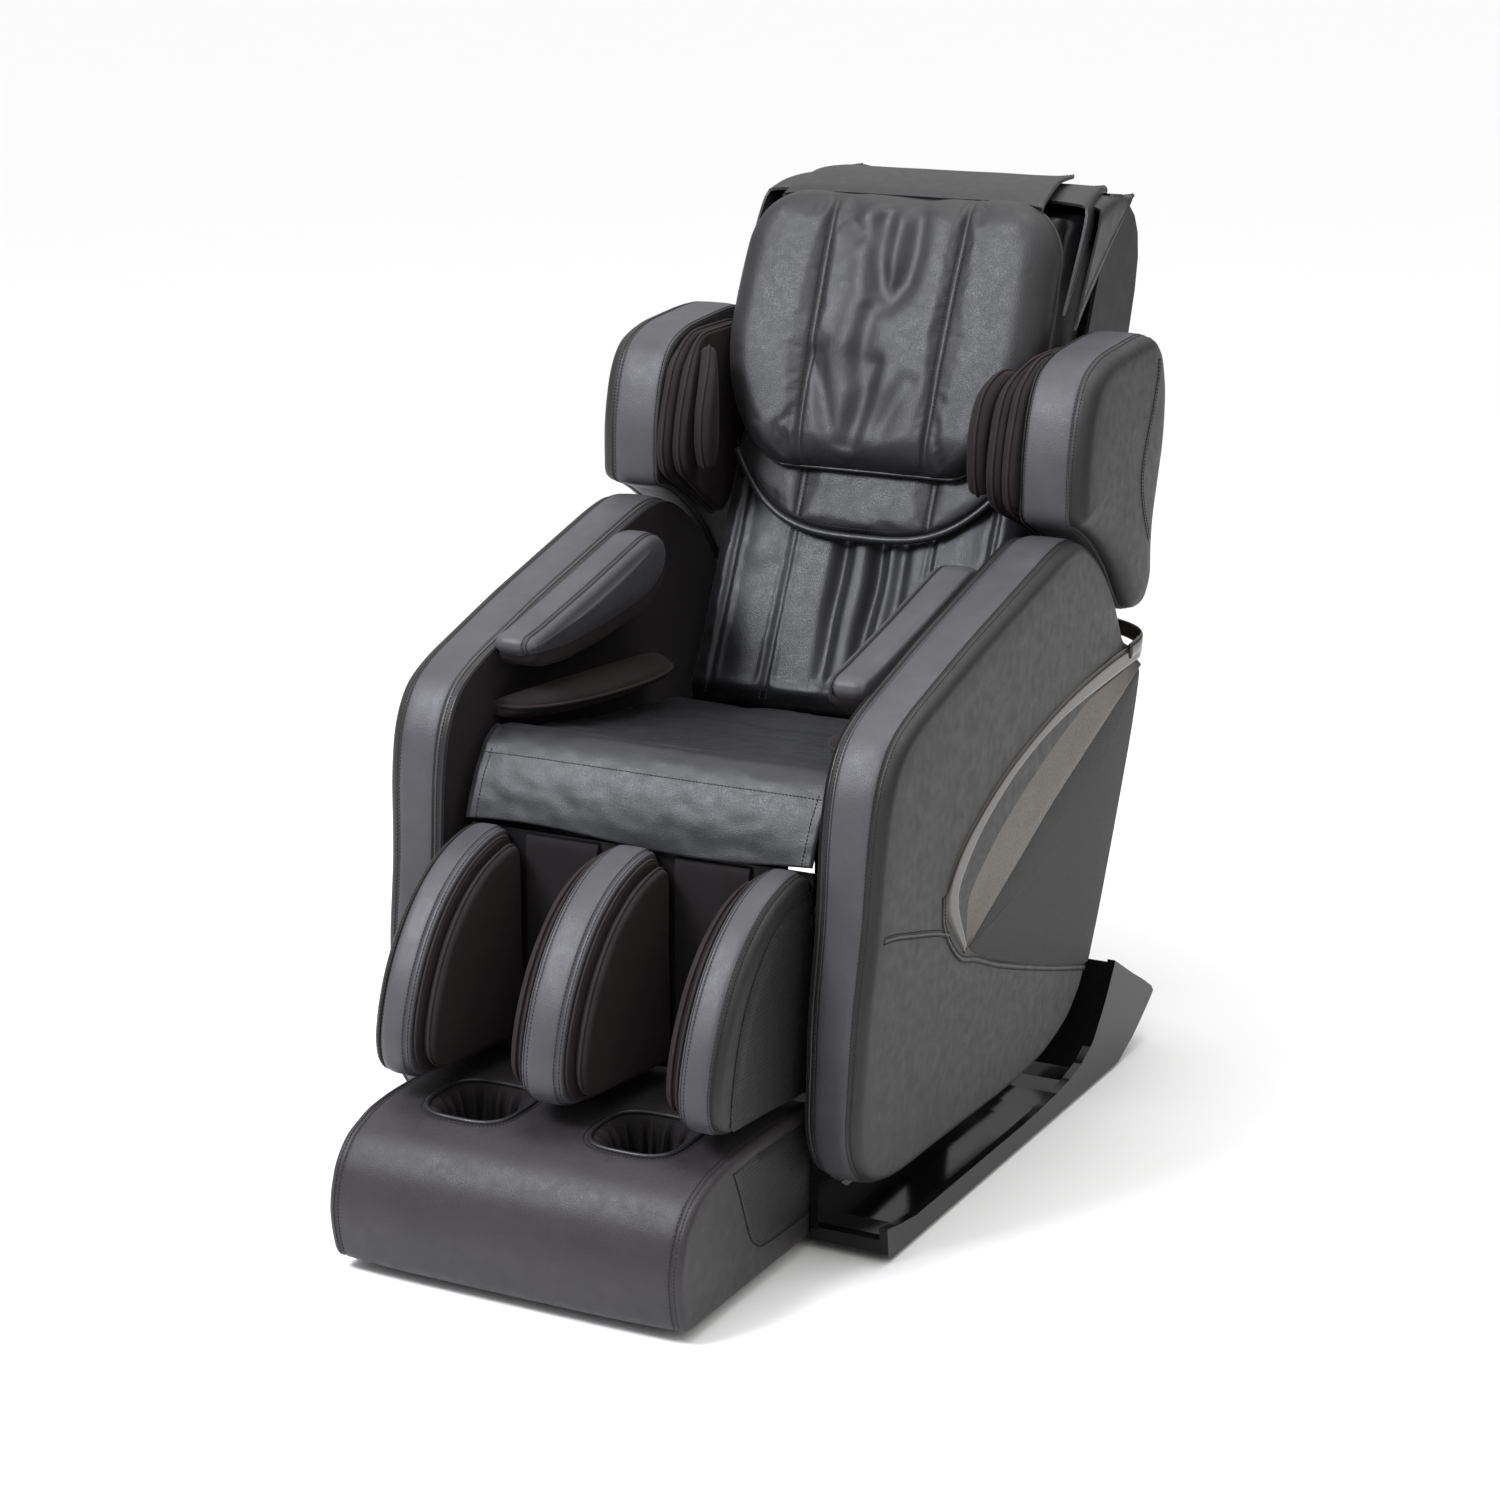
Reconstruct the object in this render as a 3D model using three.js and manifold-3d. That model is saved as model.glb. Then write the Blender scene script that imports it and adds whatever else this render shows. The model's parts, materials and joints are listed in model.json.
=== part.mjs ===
// Full-body massage chair, in millimetres. +Z is up, the chair faces -Y, and the origin is on the floor
// under the middle of the chair. Side profiles are drawn as [y, z] points and extruded across X.
import * as THREE from "three";
import { mergeVertices } from "three/addons/utils/BufferGeometryUtils.js";
import Module from "manifold-3d";

const wasm = await Module();
wasm.setup();

// ---------------------------------------------------------------- driving dimensions
const GAP = 0.3; // clearance between touching pieces
const Y_SHIFT = 44.7; // moves the drawing's Y so that the origin is under the middle of the chair

const ARM_IN = 283; // inner face of an arm casing
const ARM_TOP_OUT = 380; // outer face of an arm casing at ARM_TOP_Z
const ARM_TOP_Z = 850;
const ARM_TAPER = 0.036; // the outer face comes in this much for each millimetre down
const ARM_WALL = 8;
const LINER_T = 3.7; // fabric liner on the inner side of an arm
const TRIM_T = 8; // trim and mesh panels on the outer side of an arm

const RAIL_IN = 262; // base rail, inner and outer face
const RAIL_OUT = 376;
const RAIL_WALL = 12;

const SEAT_HALF = 262;
const BACK_HALF = 250;
const SHELL_HALF = 262;
const SHELL_WALL = 6;
const LEG_HALF = 256;
const FOOT_HALF = 260;

const TILT_PIVOT = [0, 300]; // [y, z] of the four hinge lines across the chair
const BACK_PIVOT = [180, 440];
const LEG_PIVOT = [-385, 460];
const BACK_ANGLE = THREE.MathUtils.degToRad(25); // backrest from the vertical, at rest
const FOOT_AXIS = [-0.1045, -0.9945]; // [y, z] direction in which the foot box slides out

// ---------------------------------------------------------------- solids
const AXES = {
  x: new THREE.Matrix4().makeBasis(
    new THREE.Vector3(0, 1, 0),
    new THREE.Vector3(0, 0, 1),
    new THREE.Vector3(1, 0, 0),
  ), // a shape drawn in [y, z], extruded along +X
  y: new THREE.Matrix4().makeBasis(
    new THREE.Vector3(1, 0, 0),
    new THREE.Vector3(0, 0, 1),
    new THREE.Vector3(0, -1, 0),
  ), // a shape drawn in [x, z], extruded along -Y
  z: new THREE.Matrix4(), // a shape drawn in [x, y], extruded along +Z
};

// A closed geometry as a manifold-3d solid.
function solid(geometry) {
  const bare = new THREE.BufferGeometry();
  bare.setAttribute("position", geometry.getAttribute("position"));
  if (geometry.index) bare.setIndex(geometry.index);
  const merged = mergeVertices(bare, 1e-3);
  return new wasm.Manifold(
    new wasm.Mesh({
      numProp: 3,
      vertProperties: merged.attributes.position.array,
      triVerts: new Uint32Array(merged.index.array),
    }),
  );
}

// A manifold-3d solid as a three.js geometry.
function geometryOf(body) {
  const mesh = body.getMesh();
  const geometry = new THREE.BufferGeometry();
  const points = new Float32Array(mesh.numVert * 3);
  for (let i = 0; i < mesh.numVert; i++)
    points.set(
      mesh.vertProperties.subarray(i * mesh.numProp, i * mesh.numProp + 3),
      i * 3,
    );
  geometry.setAttribute("position", new THREE.BufferAttribute(points, 3));
  geometry.setIndex(new THREE.BufferAttribute(mesh.triVerts, 1));
  geometry.computeVertexNormals();
  return geometry;
}

function polygon(points) {
  return new THREE.Shape(points.map(([a, b]) => new THREE.Vector2(a, b)));
}

// Points on a smooth curve through a few points.
function smooth(points, steps = 3) {
  const curve = new THREE.SplineCurve(
    points.map(([a, b]) => new THREE.Vector2(a, b)),
  );
  return curve
    .getPoints(steps * (points.length - 1))
    .map((p) => [p.x, p.y]);
}

// An outline moved inwards by a distance, point by point. The outline runs anticlockwise.
function inset(points, distance) {
  return points.map((p, i) => {
    const before = points[(i + points.length - 1) % points.length];
    const after = points[(i + 1) % points.length];
    const along = new THREE.Vector2(after[0] - before[0], after[1] - before[1]);
    along.normalize();
    return [p[0] - along.y * distance, p[1] + along.x * distance];
  });
}

// A profile extruded along an axis from one coordinate to another.
function extruded(points, from, to, axis = "x", steps = 4) {
  const shape = points instanceof THREE.Shape ? points : polygon(points);
  const geometry = new THREE.ExtrudeGeometry(shape, {
    depth: to - from,
    bevelEnabled: false,
    curveSegments: steps,
  });
  geometry.translate(0, 0, from);
  return geometry.applyMatrix4(AXES[axis]);
}

const slab = (...options) => solid(extruded(...options));

function box(low, high) {
  const size = high.map((h, i) => h - low[i]);
  const geometry = new THREE.BoxGeometry(...size);
  geometry.translate(...high.map((h, i) => (h + low[i]) / 2));
  return solid(geometry);
}

// A round bar across the chair, at [y, z].
function bar(radius, from, to, [y, z], sides = 20) {
  const geometry = new THREE.CylinderGeometry(radius, radius, to - from, sides);
  geometry.rotateZ(Math.PI / 2);
  geometry.translate((from + to) / 2, y, z);
  return solid(geometry);
}

// A round bar between two points in a plane of constant X.
function rod(radius, x, [y0, z0], [y1, z1], sides = 16) {
  const length = Math.hypot(y1 - y0, z1 - z0);
  const geometry = new THREE.CylinderGeometry(radius, radius, length, sides);
  geometry.rotateX(Math.atan2(z1 - z0, y1 - y0));
  geometry.translate(x, (y0 + y1) / 2, (z0 + z1) / 2);
  return solid(geometry);
}

const join = (...bodies) => bodies.reduce((a, b) => a.add(b));
const cut = (body, ...tools) => tools.reduce((a, b) => a.subtract(b), body);

// ---------------------------------------------------------------- materials and the scene graph
const material = (color, roughness, metalness = 0) =>
  new THREE.MeshStandardMaterial({ color, roughness, metalness });
const LEATHER = material(0x3a3a3d, 0.5);
const GREY_LEATHER = material(0x55565b, 0.5);
const AIRBAG_FABRIC = material(0x2c2226, 0.9);
const MESH_LEATHER = material(0x303031, 0.6);
const GLOSS_BLACK = material(0x0a0a0b, 0.08);
const BRONZE = material(0x5d544c, 0.3, 0.6);
const SHELL_PLASTIC = material(0x1c1c1e, 0.45);
const STEEL = material(0x2a2b2e, 0.4, 0.8);
const ZINC = material(0x9a9ca0, 0.35, 0.9);
const RUBBER = material(0x111111, 0.9);
const ROLLER = material(0xb9a98d, 0.6);

const chair = new THREE.Group();
chair.position.y = Y_SHIFT;
const backrest = new THREE.Group(); // drawn upright at its own hinge, then leaned back
backrest.position.set(0, BACK_PIVOT[0], BACK_PIVOT[1]);
backrest.rotation.x = -BACK_ANGLE;
chair.add(backrest);

function add(name, body, finish, group = chair) {
  const mesh = new THREE.Mesh(geometryOf(body), finish);
  mesh.name = name;
  group.add(mesh);
  return mesh;
}

// The same piece on both sides; the body given is the one at +X.
function addPair(name, body, finish, group = chair) {
  add(`${name}_right`, body, finish, group);
  add(`${name}_left`, body, finish, group).scale.x = -1;
}

// ---------------------------------------------------------------- arm outlines
const ARM_OUTLINE = [
  [-437, 120],
  ...smooth([[-383, 99], [-330, 90], [-170, 88], [28, 83], [161, 90], [252, 116], [300, 160],
    [309, 186]], 2),
  ...smooth([[345, 270], [390, 400], [430, 520], [448, 610]], 2),
  [446, 642],
  [388, 660],
  ...smooth([[373, 682], [346, 727], [306, 774], [250, 818], [205, 844], [165, 850], [120, 840]], 2),
  ...smooth([[50, 822], [-150, 770], [-330, 718], [-385, 692], [-418, 640], [-432, 575], [-440, 460],
    [-460, 350],
    [-472, 180], [-462, 143]], 2),
];
const PANEL_EDGE = smooth([[-160, 357], [-58, 405], [30, 446], [125, 490], [255, 542], [370, 588], [440, 617]], 2);
const PANEL_OUTLINE = [
  ...PANEL_EDGE.slice().reverse(),
  ...smooth([[-125, 337], [-36, 298], [120, 240], [284, 192]], 2),
  ...smooth([[312, 206], [343, 275], [386, 400], [426, 520], [443, 606]], 2),
];
const TRIM_OUTLINE = [
  ...PANEL_EDGE.map(([y, z]) => [y - 0.4, z + 0.8]),
  [441, 640],
  ...smooth([[380, 655], [339, 653], [151, 629], [-42, 580], [-174, 521], [-228, 472], [-232, 425],
    [-190, 370]], 3),
];

// A slab on an arm, whose outer side comes in towards the bottom.
function armSlab(points, from, to) {
  const geometry = extruded(points, from, to);
  const place = geometry.getAttribute("position");
  const middle = (ARM_IN + ARM_TOP_OUT) / 2;
  for (let i = 0; i < place.count; i++) {
    const taper = ARM_TAPER * (ARM_TOP_Z - place.getZ(i));
    if (place.getX(i) > middle) place.setX(i, place.getX(i) - taper);
  }
  return solid(geometry);
}

function armCasing() {
  const outside = armSlab(ARM_OUTLINE, ARM_IN, ARM_TOP_OUT);
  const inside = armSlab(inset(ARM_OUTLINE, ARM_WALL), ARM_IN - 1, ARM_TOP_OUT - ARM_WALL);
  return cut(outside, inside);
}

function armPadProfile() {
  return [
    ...smooth([[-304, 734], [-288, 716], [-213, 710], [-97, 717], [25, 734], [72, 758], [88, 792],
      [74, 822], [40, 828]]),
    ...smooth([[-130, 783], [-262, 750]]),
  ];
}

function cuffProfile() {
  return [
    ...smooth([[-292, 652], [-272, 634], [-150, 617], [0, 601], [100, 598], [128, 612], [118, 640]]),
    ...smooth([[60, 648], [-100, 655], [-240, 660]]),
  ];
}

// ---------------------------------------------------------------- base
const RAIL_FLOOR = [
  [-404, 6], [400, 6],
  ...smooth([[458, 28], [530, 68], [533, 86], [449, 133], [374, 172]], 2),
  ...smooth([[345, 130], [300, 80], [250, 45], [190, 26], [100, 20]], 2),
  [-330, 20], [-385, 26], [-418, 34], [-416, 14],
];
const RAIL_OUTER_WALL = [
  [-404, 6], [400, 6],
  ...smooth([[458, 28], [530, 68], [533, 86], [449, 133], [374, 176]], 2),
  ...smooth([[366, 140], [314, 88], [249, 54], [157, 40], [24, 36]], 2),
  [-330, 38], [-390, 46], [-420, 52], [-416, 14],
];
const RAIL_INNER_WALL = [
  [-404, 6], [420, 10], [446, 40], [440, 120],
  ...smooth([[374, 168], [330, 118], [250, 62], [157, 50], [24, 48]], 2),
  [-330, 60], [-380, 92], [-396, 160], [-412, 165], [-418, 30],
];
const WHEEL_AT = [425, 33];
const POST_X = [238, 248];

function baseRail() {
  const stub = bar(6, 233, RAIL_IN + 2, WHEEL_AT, 16);
  return join(
    slab(RAIL_FLOOR, RAIL_IN, RAIL_OUT),
    slab(RAIL_OUTER_WALL, RAIL_OUT - RAIL_WALL, RAIL_OUT),
    slab(RAIL_INNER_WALL, RAIL_IN, RAIL_IN + RAIL_WALL),
    stub,
  );
}

function baseChassis() {
  const edge = RAIL_IN - GAP;
  const plate = box([-edge, -300, 20], [edge, 300, 25]);
  const frontBar = box([-edge, -320, 20], [edge, -280, 60]);
  const rearBar = box([-edge, 280, 20], [edge, 320, 60]);
  const posts = [1, -1].map((side) => {
    const [a, b] = side > 0 ? POST_X : [-POST_X[1], -POST_X[0]];
    const post = slab([[-70, 24], [70, 24], [26, 320], [-26, 320]], a, b);
    return cut(post, bar(12 + GAP, a - 1, b + 1, TILT_PIVOT));
  });
  const lug = join(box([-22, -275, 24], [-14, -245, 92]), box([14, -275, 24], [22, -245, 92]));
  return join(plate, frontBar, rearBar, ...posts, lug);
}

function powerUnit() {
  const inlet = box([70, 258, 60], [98, 266, 84]);
  const switchWell = box([20.2, 254, 59], [44.8, 262, 81]);
  return cut(join(box([-120, 130, 25 + GAP], [120, 260, 105]), inlet), switchWell);
}

function addBase() {
  addPair("base_rail", baseRail(), GLOSS_BLACK);
  addPair("rail_foot", box([284, -370, 0], [356, 372, 6 - GAP]), RUBBER);
  add("base_chassis", baseChassis(), STEEL);
  add("power_unit", powerUnit(), SHELL_PLASTIC);
  add("power_switch", slab([[256, 62], [261, 62], [264, 78], [261, 79], [256, 78]], 22, 43), GLOSS_BLACK);
  const wheel = cut(bar(24, 236, 256, WHEEL_AT, 28), bar(6 + GAP, 235, 257, WHEEL_AT, 16));
  addPair("transport_wheel", wheel, RUBBER);
}

// ---------------------------------------------------------------- seat
const BEAM_X = [258, 270];

function seatFrame() {
  const beams = [1, -1].map((side) => {
    const [a, b] = side > 0 ? BEAM_X : [-BEAM_X[1], -BEAM_X[0]];
    const beam = slab(
      [[-398, 446], [-310, 432], [196, 426], [202, 434], [202, 458], [190, 472], [-300, 476],
        [-392, 476], [-400, 466]],
      a, b,
    );
    const inner = side > 0 ? [226, a + 2] : [b - 2, -226];
    const legInner = side > 0 ? [244, a + 2] : [b - 2, -244];
    return join(beam, bar(10, ...inner, BACK_PIVOT), bar(8, ...legInner, LEG_PIVOT));
  });
  const edge = BEAM_X[0] + 2;
  const crossBars = [[-312, -288], [-165, -140], [60, 85]].map(([a, b]) =>
    box([-edge, a, 450], [edge, b, 474]),
  );
  const hangers = [1, -1].map((side) => {
    const [a, b] = side > 0 ? [224, 234] : [-234, -224];
    const plate = slab([[-22, 282], [22, 282], [78, 452], [66, 470], [-150, 470], [-158, 452]], a, b);
    return cut(plate, bar(12 + GAP, a - 1, b + 1, TILT_PIVOT));
  });
  const tiltLug = join(box([-22, -163, 392], [-14, -142, 452]), box([14, -163, 392], [22, -142, 452]));
  const legLug = join(box([-112, -76, 362], [-104, -40, 462]), box([-76, -76, 362], [-68, -40, 462]));
  const legShelf = box([-112, -142, 452], [-68, 62, 462]);
  const backLug = join(box([68, -216, 370], [76, -184, 462]), box([104, -216, 370], [112, -184, 462]));
  const backShelf = box([68, -290, 452], [112, -142, 462]);
  return join(...beams, ...crossBars, ...hangers, tiltLug, legLug, legShelf, backLug, backShelf);
}

function seatCushion() {
  const profile = [
    [-322, 480], [150, 480], [158, 520],
    ...smooth([[152, 558], [100, 565], [0, 578], [-200, 604], [-312, 622], [-334, 618], [-341, 600],
      [-336, 575], [-322, 555]]),
  ];
  const tail = box([-205, 140, 482], [205, 227, 528]);
  return join(slab(profile, -SEAT_HALF, SEAT_HALF), tail);
}

function addArm() {
  addPair("arm_casing", armCasing(), LEATHER);
  addPair("arm_liner", slab(inset(ARM_OUTLINE, 3), ARM_IN - GAP - LINER_T, ARM_IN - GAP), AIRBAG_FABRIC);
  const proud = [ARM_TOP_OUT + GAP, ARM_TOP_OUT + GAP + TRIM_T];
  addPair("arm_mesh_panel", armSlab(PANEL_OUTLINE, ...proud), MESH_LEATHER);
  addPair("arm_trim", armSlab(TRIM_OUTLINE, ...proud), BRONZE);
  const inner = ARM_IN - GAP - LINER_T - GAP;
  addPair("forearm_pad", slab(armPadProfile(), 214, inner), GREY_LEATHER);
  addPair("forearm_cuff", slab(cuffProfile(), 202, inner), AIRBAG_FABRIC);
}

function addSeat() {
  add("seat_frame", seatFrame(), STEEL);
  add("tilt_shaft", bar(12, -254, 254, TILT_PIVOT), ZINC);
  add("seat_cushion", seatCushion(), LEATHER);
  add("air_pump", box([-215, -120, 360], [-125, 50, 449]), SHELL_PLASTIC);
  add("control_box", box([125, -130, 385], [218, 48, 449]), SHELL_PLASTIC);
  const flap = [[-352, 616], [-362, 604], [-416, 530], [-410, 523], [-402, 526], [-345, 602]];
  add("seat_front_flap", slab(flap, -SEAT_HALF, SEAT_HALF), LEATHER);
}

// ---------------------------------------------------------------- actuators
// An electric actuator: a motor and tube at its tail, and a rod that slides out towards its head.
function addActuator(name, x, tail, head, tubeLength) {
  const along = new THREE.Vector2(head[0] - tail[0], head[1] - tail[1]).normalize();
  const at = (distance) => [tail[0] + along.x * distance, tail[1] + along.y * distance];
  const length = Math.hypot(head[0] - tail[0], head[1] - tail[1]);
  const tube = cut(
    join(
      rod(11, x, at(0), at(30)),
      rod(15, x, at(26), at(tubeLength)),
      rod(23, x, at(26), at(88), 20),
      bar(12, x - 13, x + 13, tail),
    ),
    rod(8 + GAP, x, at(34), at(tubeLength + 1)),
  );
  add(`${name}_actuator_body`, tube, SHELL_PLASTIC);
  const slider = join(rod(8, x, at(tubeLength - 112), at(length - 6)), bar(12, x - 12, x + 12, head));
  add(`${name}_actuator_rod`, slider, ZINC);
}

const ACTUATORS = {
  tilt: { x: 0, tail: [-260, 80], head: [-152, 402], tube: 215 },
  leg: { x: -90, tail: [-58, 374], head: [-330, 400], tube: 150 },
  back: { x: 90, tail: [-200, 384], head: [150, 340], tube: 215 },
};

// ---------------------------------------------------------------- backrest
// It is drawn upright: [w, u] is [rearwards, up] from the hinge.
const CUSHION_FRONT = -62;

function backShell() {
  const outline = [
    [10, 66], [130, 40],
    ...smooth([[150, 90], [165, 300], [168, 520], [160, 760], [140, 880], [96, 930], [30, 940]], 2),
    [0, 930],
  ];
  const cavity = inset(outline, SHELL_WALL).map(([w, u]) => [w < 20 ? -20 : w, u]);
  const innerHalf = SHELL_HALF - SHELL_WALL;
  const frameOpening = box([-innerHalf, -20, 20], [innerHalf, 72, 100]);
  return cut(slab(outline, -SHELL_HALF, SHELL_HALF), slab(cavity, -innerHalf, innerHalf), frameOpening);
}

function backFrame() {
  const rails = [1, -1].map((side) => {
    const [a, b] = side > 0 ? [230, 246] : [-246, -230];
    const rail = box([a, 22, 56], [b, 62, 880]);
    const lug = slab([[-16, -14], [16, -14], [62, 60], [60, 110], [22, 110], [-14, 20]], a, b);
    return cut(join(rail, lug), bar(10 + GAP, a - 1, b + 1, [0, 0]));
  });
  const crossBars = [[70, 92], [840, 862]].map(([low, high]) => box([-232, 24, low], [232, 56, high]));
  const lever = [[68, 76], [104, 112]].map(([a, b]) =>
    slab([[30, 74], [56, 74], [44, -30], [32, -92], [8, -114], [-2, -96], [10, -40]], a, b),
  );
  return join(...rails, ...crossBars, ...lever);
}

function backCushion() {
  const profile = [
    [-4, 118], [-4, 888], [-24, 900], [-50, 896], [CUSHION_FRONT, 878], [CUSHION_FRONT, 124],
      [-56, 106], [-30, 106],
  ];
  return slab(profile, -BACK_HALF, BACK_HALF);
}

function upperBackPad() {
  const shape = [
    [-225, 866], [-232, 560],
    ...smooth([[-215, 480], [-160, 400], [-80, 366], [0, 360], [80, 366], [160, 400], [215, 480],
      [232, 560]], 2),
    [225, 866],
  ];
  return slab(shape, -CUSHION_FRONT + GAP, 84, "y");
}

function headPillow() {
  const shape = [
    ...smooth([[-140, 466], [0, 452], [140, 466], [215, 510], [248, 600], [255, 700], [245, 800],
      [205, 858], [140, 872]]),
    ...smooth([[0, 862], [-140, 872], [-205, 858], [-245, 800], [-255, 700], [-248, 600], [-215, 510]]),
  ];
  const side = [
    [-84.3, 440], [-106, 452],
    ...smooth([[-114, 470], [-138, 530], [-154, 620], [-163, 720], [-163, 800], [-150, 846],
      [-118, 876]], 2),
    [-84.3, 884],
  ];
  const pad = slab(shape, 84, 180, "y").intersect(slab(side, -BACK_HALF - 8, BACK_HALF + 8));
  const flap = slab([
    [-84.3, 872], [-136, 852],
    ...smooth([[-116, 878], [-62, 917], [20, 951], [84, 949]], 2),
    [84, 943],
    ...smooth([[20, 942], [-54, 909], [-84.3, 890]], 2),
  ], -185, 185);
  return join(pad, flap);
}

const POD_OUTLINE = [
  [180, 868], [214, 860], [266, 832], [322, 788], [362, 738], [392, 704],
  ...smooth([[430, 706], [462, 745], [456, 790], [458, 830], [495, 945], [499, 1020], [478, 1080],
    [446, 1103], [395, 1100]], 2),
  ...smooth([[280, 1091], [225, 1070], [200, 1025], [180, 955]], 2),
];
const WING_OUTLINE = smooth([
  [334, 792], [368, 830], [404, 920], [440, 1040], [400, 1088], [262, 1086], [205, 1050], [176, 980],
    [166, 925],
  [174, 884], [214, 864], [268, 836],
], 2);
// The part of a shoulder airbag that leans in over the front of the head pillow.
const WING_TIP_OUTLINE = [[196, 888], [180, 926], [182, 984], [206, 1044], [244, 1074], [274, 1056],
  [210, 912]];

const SHAFT_AT = [76, 250]; // kneading shaft, [w, u]
const ROLLER_OFFSET = [-42, 82]; // roller centres from the shaft
const ROLLER_R = 27;

function massageCarriage() {
  const plate = box([-214, 100, 180], [214, 126, 320]);
  const cheeks = [1, -1].map((side) => {
    const [a, b] = side > 0 ? [196, 206] : [-206, -196];
    return cut(box([a, 56, 222], [b, 102, 278]), bar(9 + GAP, a - 1, b + 1, SHAFT_AT));
  });
  const guides = [1, -1].map((side) => {
    const [a, b] = side > 0 ? [212, 246] : [-246, -212];
    return box([a, 62 + GAP, 190], [b, 126, 310]);
  });
  const motor = rod(26, 0, [112, 196], [112, 304], 20);
  return join(plate, ...cheeks, ...guides, motor);
}

function massageArm(side) {
  const [a, b] = side > 0 ? [92, 106] : [-106, -92];
  const [w, u] = SHAFT_AT;
  const [dw, du] = ROLLER_OFFSET;
  const plate = slab(
    [[w + 17, u - 20], [w + 17, u + 20], [w + dw + 11, u + du + 8], [w + dw - 9, u + du + 9],
      [w + dw - 11, u + du - 11],
      [w - 6, u], [w + dw - 11, u - du + 11], [w + dw - 9, u - du - 9], [w + dw + 11, u - du - 8]],
    a, b,
  );
  const pins = [1, -1].map((end) => bar(6, side > 0 ? b - 2 : a - 32, side > 0 ? b + 32 : a + 2,
    [w + dw, u + end * du], 14));
  const hub = bar(20, side > 0 ? a - 8 : a, side > 0 ? b : b + 8, SHAFT_AT, 24);
  return cut(join(plate, hub, ...pins), bar(9 + GAP, side > 0 ? a - 9 : a - 1,
    side > 0 ? b + 1 : b + 9, SHAFT_AT));
}

function massageRoller(side, end) {
  const centre = [SHAFT_AT[0] + ROLLER_OFFSET[0], SHAFT_AT[1] + end * ROLLER_OFFSET[1]];
  const [a, b] = side > 0 ? [108, 134] : [-134, -108];
  const middle = bar(ROLLER_R, a + 6, b - 6, centre, 28);
  const edges = bar(ROLLER_R - 5, a, b, centre, 28);
  return cut(join(middle, edges), bar(6 + GAP, a - 1, b + 1, centre, 14));
}

function addBackrest() {
  add("back_shell", backShell(), SHELL_PLASTIC, backrest);
  add("back_frame", backFrame(), STEEL, backrest);
  add("back_cushion", backCushion(), LEATHER, backrest);
  add("upper_back_pad", upperBackPad(), LEATHER, backrest);
  add("head_pillow", headPillow(), LEATHER, backrest);
  addPair("shoulder_pod", slab(POD_OUTLINE, 285, 386), LEATHER);
  const wing = join(slab(WING_OUTLINE, SHELL_HALF + GAP, 285 - GAP), slab(WING_TIP_OUTLINE, 212,
    SHELL_HALF + 1));
  addPair("shoulder_airbag", wing, AIRBAG_FABRIC);
  add("massage_carriage", massageCarriage(), STEEL, backrest);
  add("kneading_shaft", bar(9, -206, 206, SHAFT_AT), ZINC, backrest);
  for (const [side, word] of [[1, "right"], [-1, "left"]]) {
    add(`massage_arm_${word}`, massageArm(side), STEEL, backrest);
    add(`massage_roller_upper_${word}`, massageRoller(side, 1), ROLLER, backrest);
    add(`massage_roller_lower_${word}`, massageRoller(side, -1), ROLLER, backrest);
  }
}

// ---------------------------------------------------------------- leg rest
const CALF_BACK_Y = -400; // the pads stand in front of this plane, and the frame behind it
const CALF_FRONT = smooth([[-434, 512], [-506, 486], [-595, 412], [-645, 330], [-658, 277],
  [-645, 243]], 3);
const PAD_OUTLINE = [[CALF_BACK_Y - GAP, 212], [CALF_BACK_Y - GAP, 515], ...CALF_FRONT, [-622, 234]];
const AIRBAG_INSET = 12;
const SOLE_ROLLER_AT = [-600, 62];

function calfShell() {
  const block = slab(
    [[CALF_BACK_Y, 211], [-372, 208], [-360, 222], [-357, 440], [-362, 474], [-374, 494], [-392, 508],
      [CALF_BACK_Y, 512]],
    -LEG_HALF, LEG_HALF,
  );
  const pivots = [1, -1].map((side) =>
    bar(8 + GAP, side > 0 ? 243 : -LEG_HALF - 1, side > 0 ? LEG_HALF + 1 : -243, LEG_PIVOT),
  );
  const guideBores = [-1, 1].map((side) => rod(9, side * 120, ...slideRodEnds(-12, 232)));
  const levers = [[-112, -104], [-76, -68]].map(([a, b]) =>
    slab([[-362, 470], [-362, 420], [-336, 388], [-322, 392], [-320, 408], [-352, 470]], a, b),
  );
  return join(cut(block, ...pivots, ...guideBores), ...levers);
}

// The ends of a foot-box slide rod, measured along the slide axis from the top of the foot box.
function slideRodEnds(from, to) {
  const start = [-385, 196];
  return [from, to].map((d) => [start[0] - FOOT_AXIS[0] * d, start[1] - FOOT_AXIS[1] * d]);
}

function footBox() {
  const outline = [
    [-752, 14], [-380, 14], [-380, 194],
    ...smooth([[-467, 199], [-621, 202], [-671, 197], [-724, 178], [-758, 143], [-768, 84],
      [-761, 34]], 2),
  ];
  const pocket = (side) => box(
    side > 0 ? [58, -706, 84] : [-186, -706, 84], side > 0 ? [186, -470, 176] : [-58, -470, 176],
  );
  const mouth = (side) => {
    const shape = new THREE.Shape();
    shape.absellipse(side * 122, -604, 64, 62, 0, Math.PI * 2);
    return slab(shape, 170, 230, "z", 7);
  };
  const rollerSlot = box([-196, SOLE_ROLLER_AT[0] - 34, 26], [196, SOLE_ROLLER_AT[0] + 34, 86]);
  const rods = [-1, 1].map((side) => rod(7, side * 120, ...slideRodEnds(-8, 190)));
  const block = cut(slab(outline, -FOOT_HALF, FOOT_HALF), pocket(1), pocket(-1), mouth(1), mouth(-1),
    rollerSlot);
  return join(block, ...rods);
}

function soleRoller() {
  const nodules = [-150, -94, 94, 150].map((x) => bar(27, x - 16, x + 16, SOLE_ROLLER_AT, 24));
  return join(bar(9, -195.5, 195.5, SOLE_ROLLER_AT), ...nodules);
}

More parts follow.
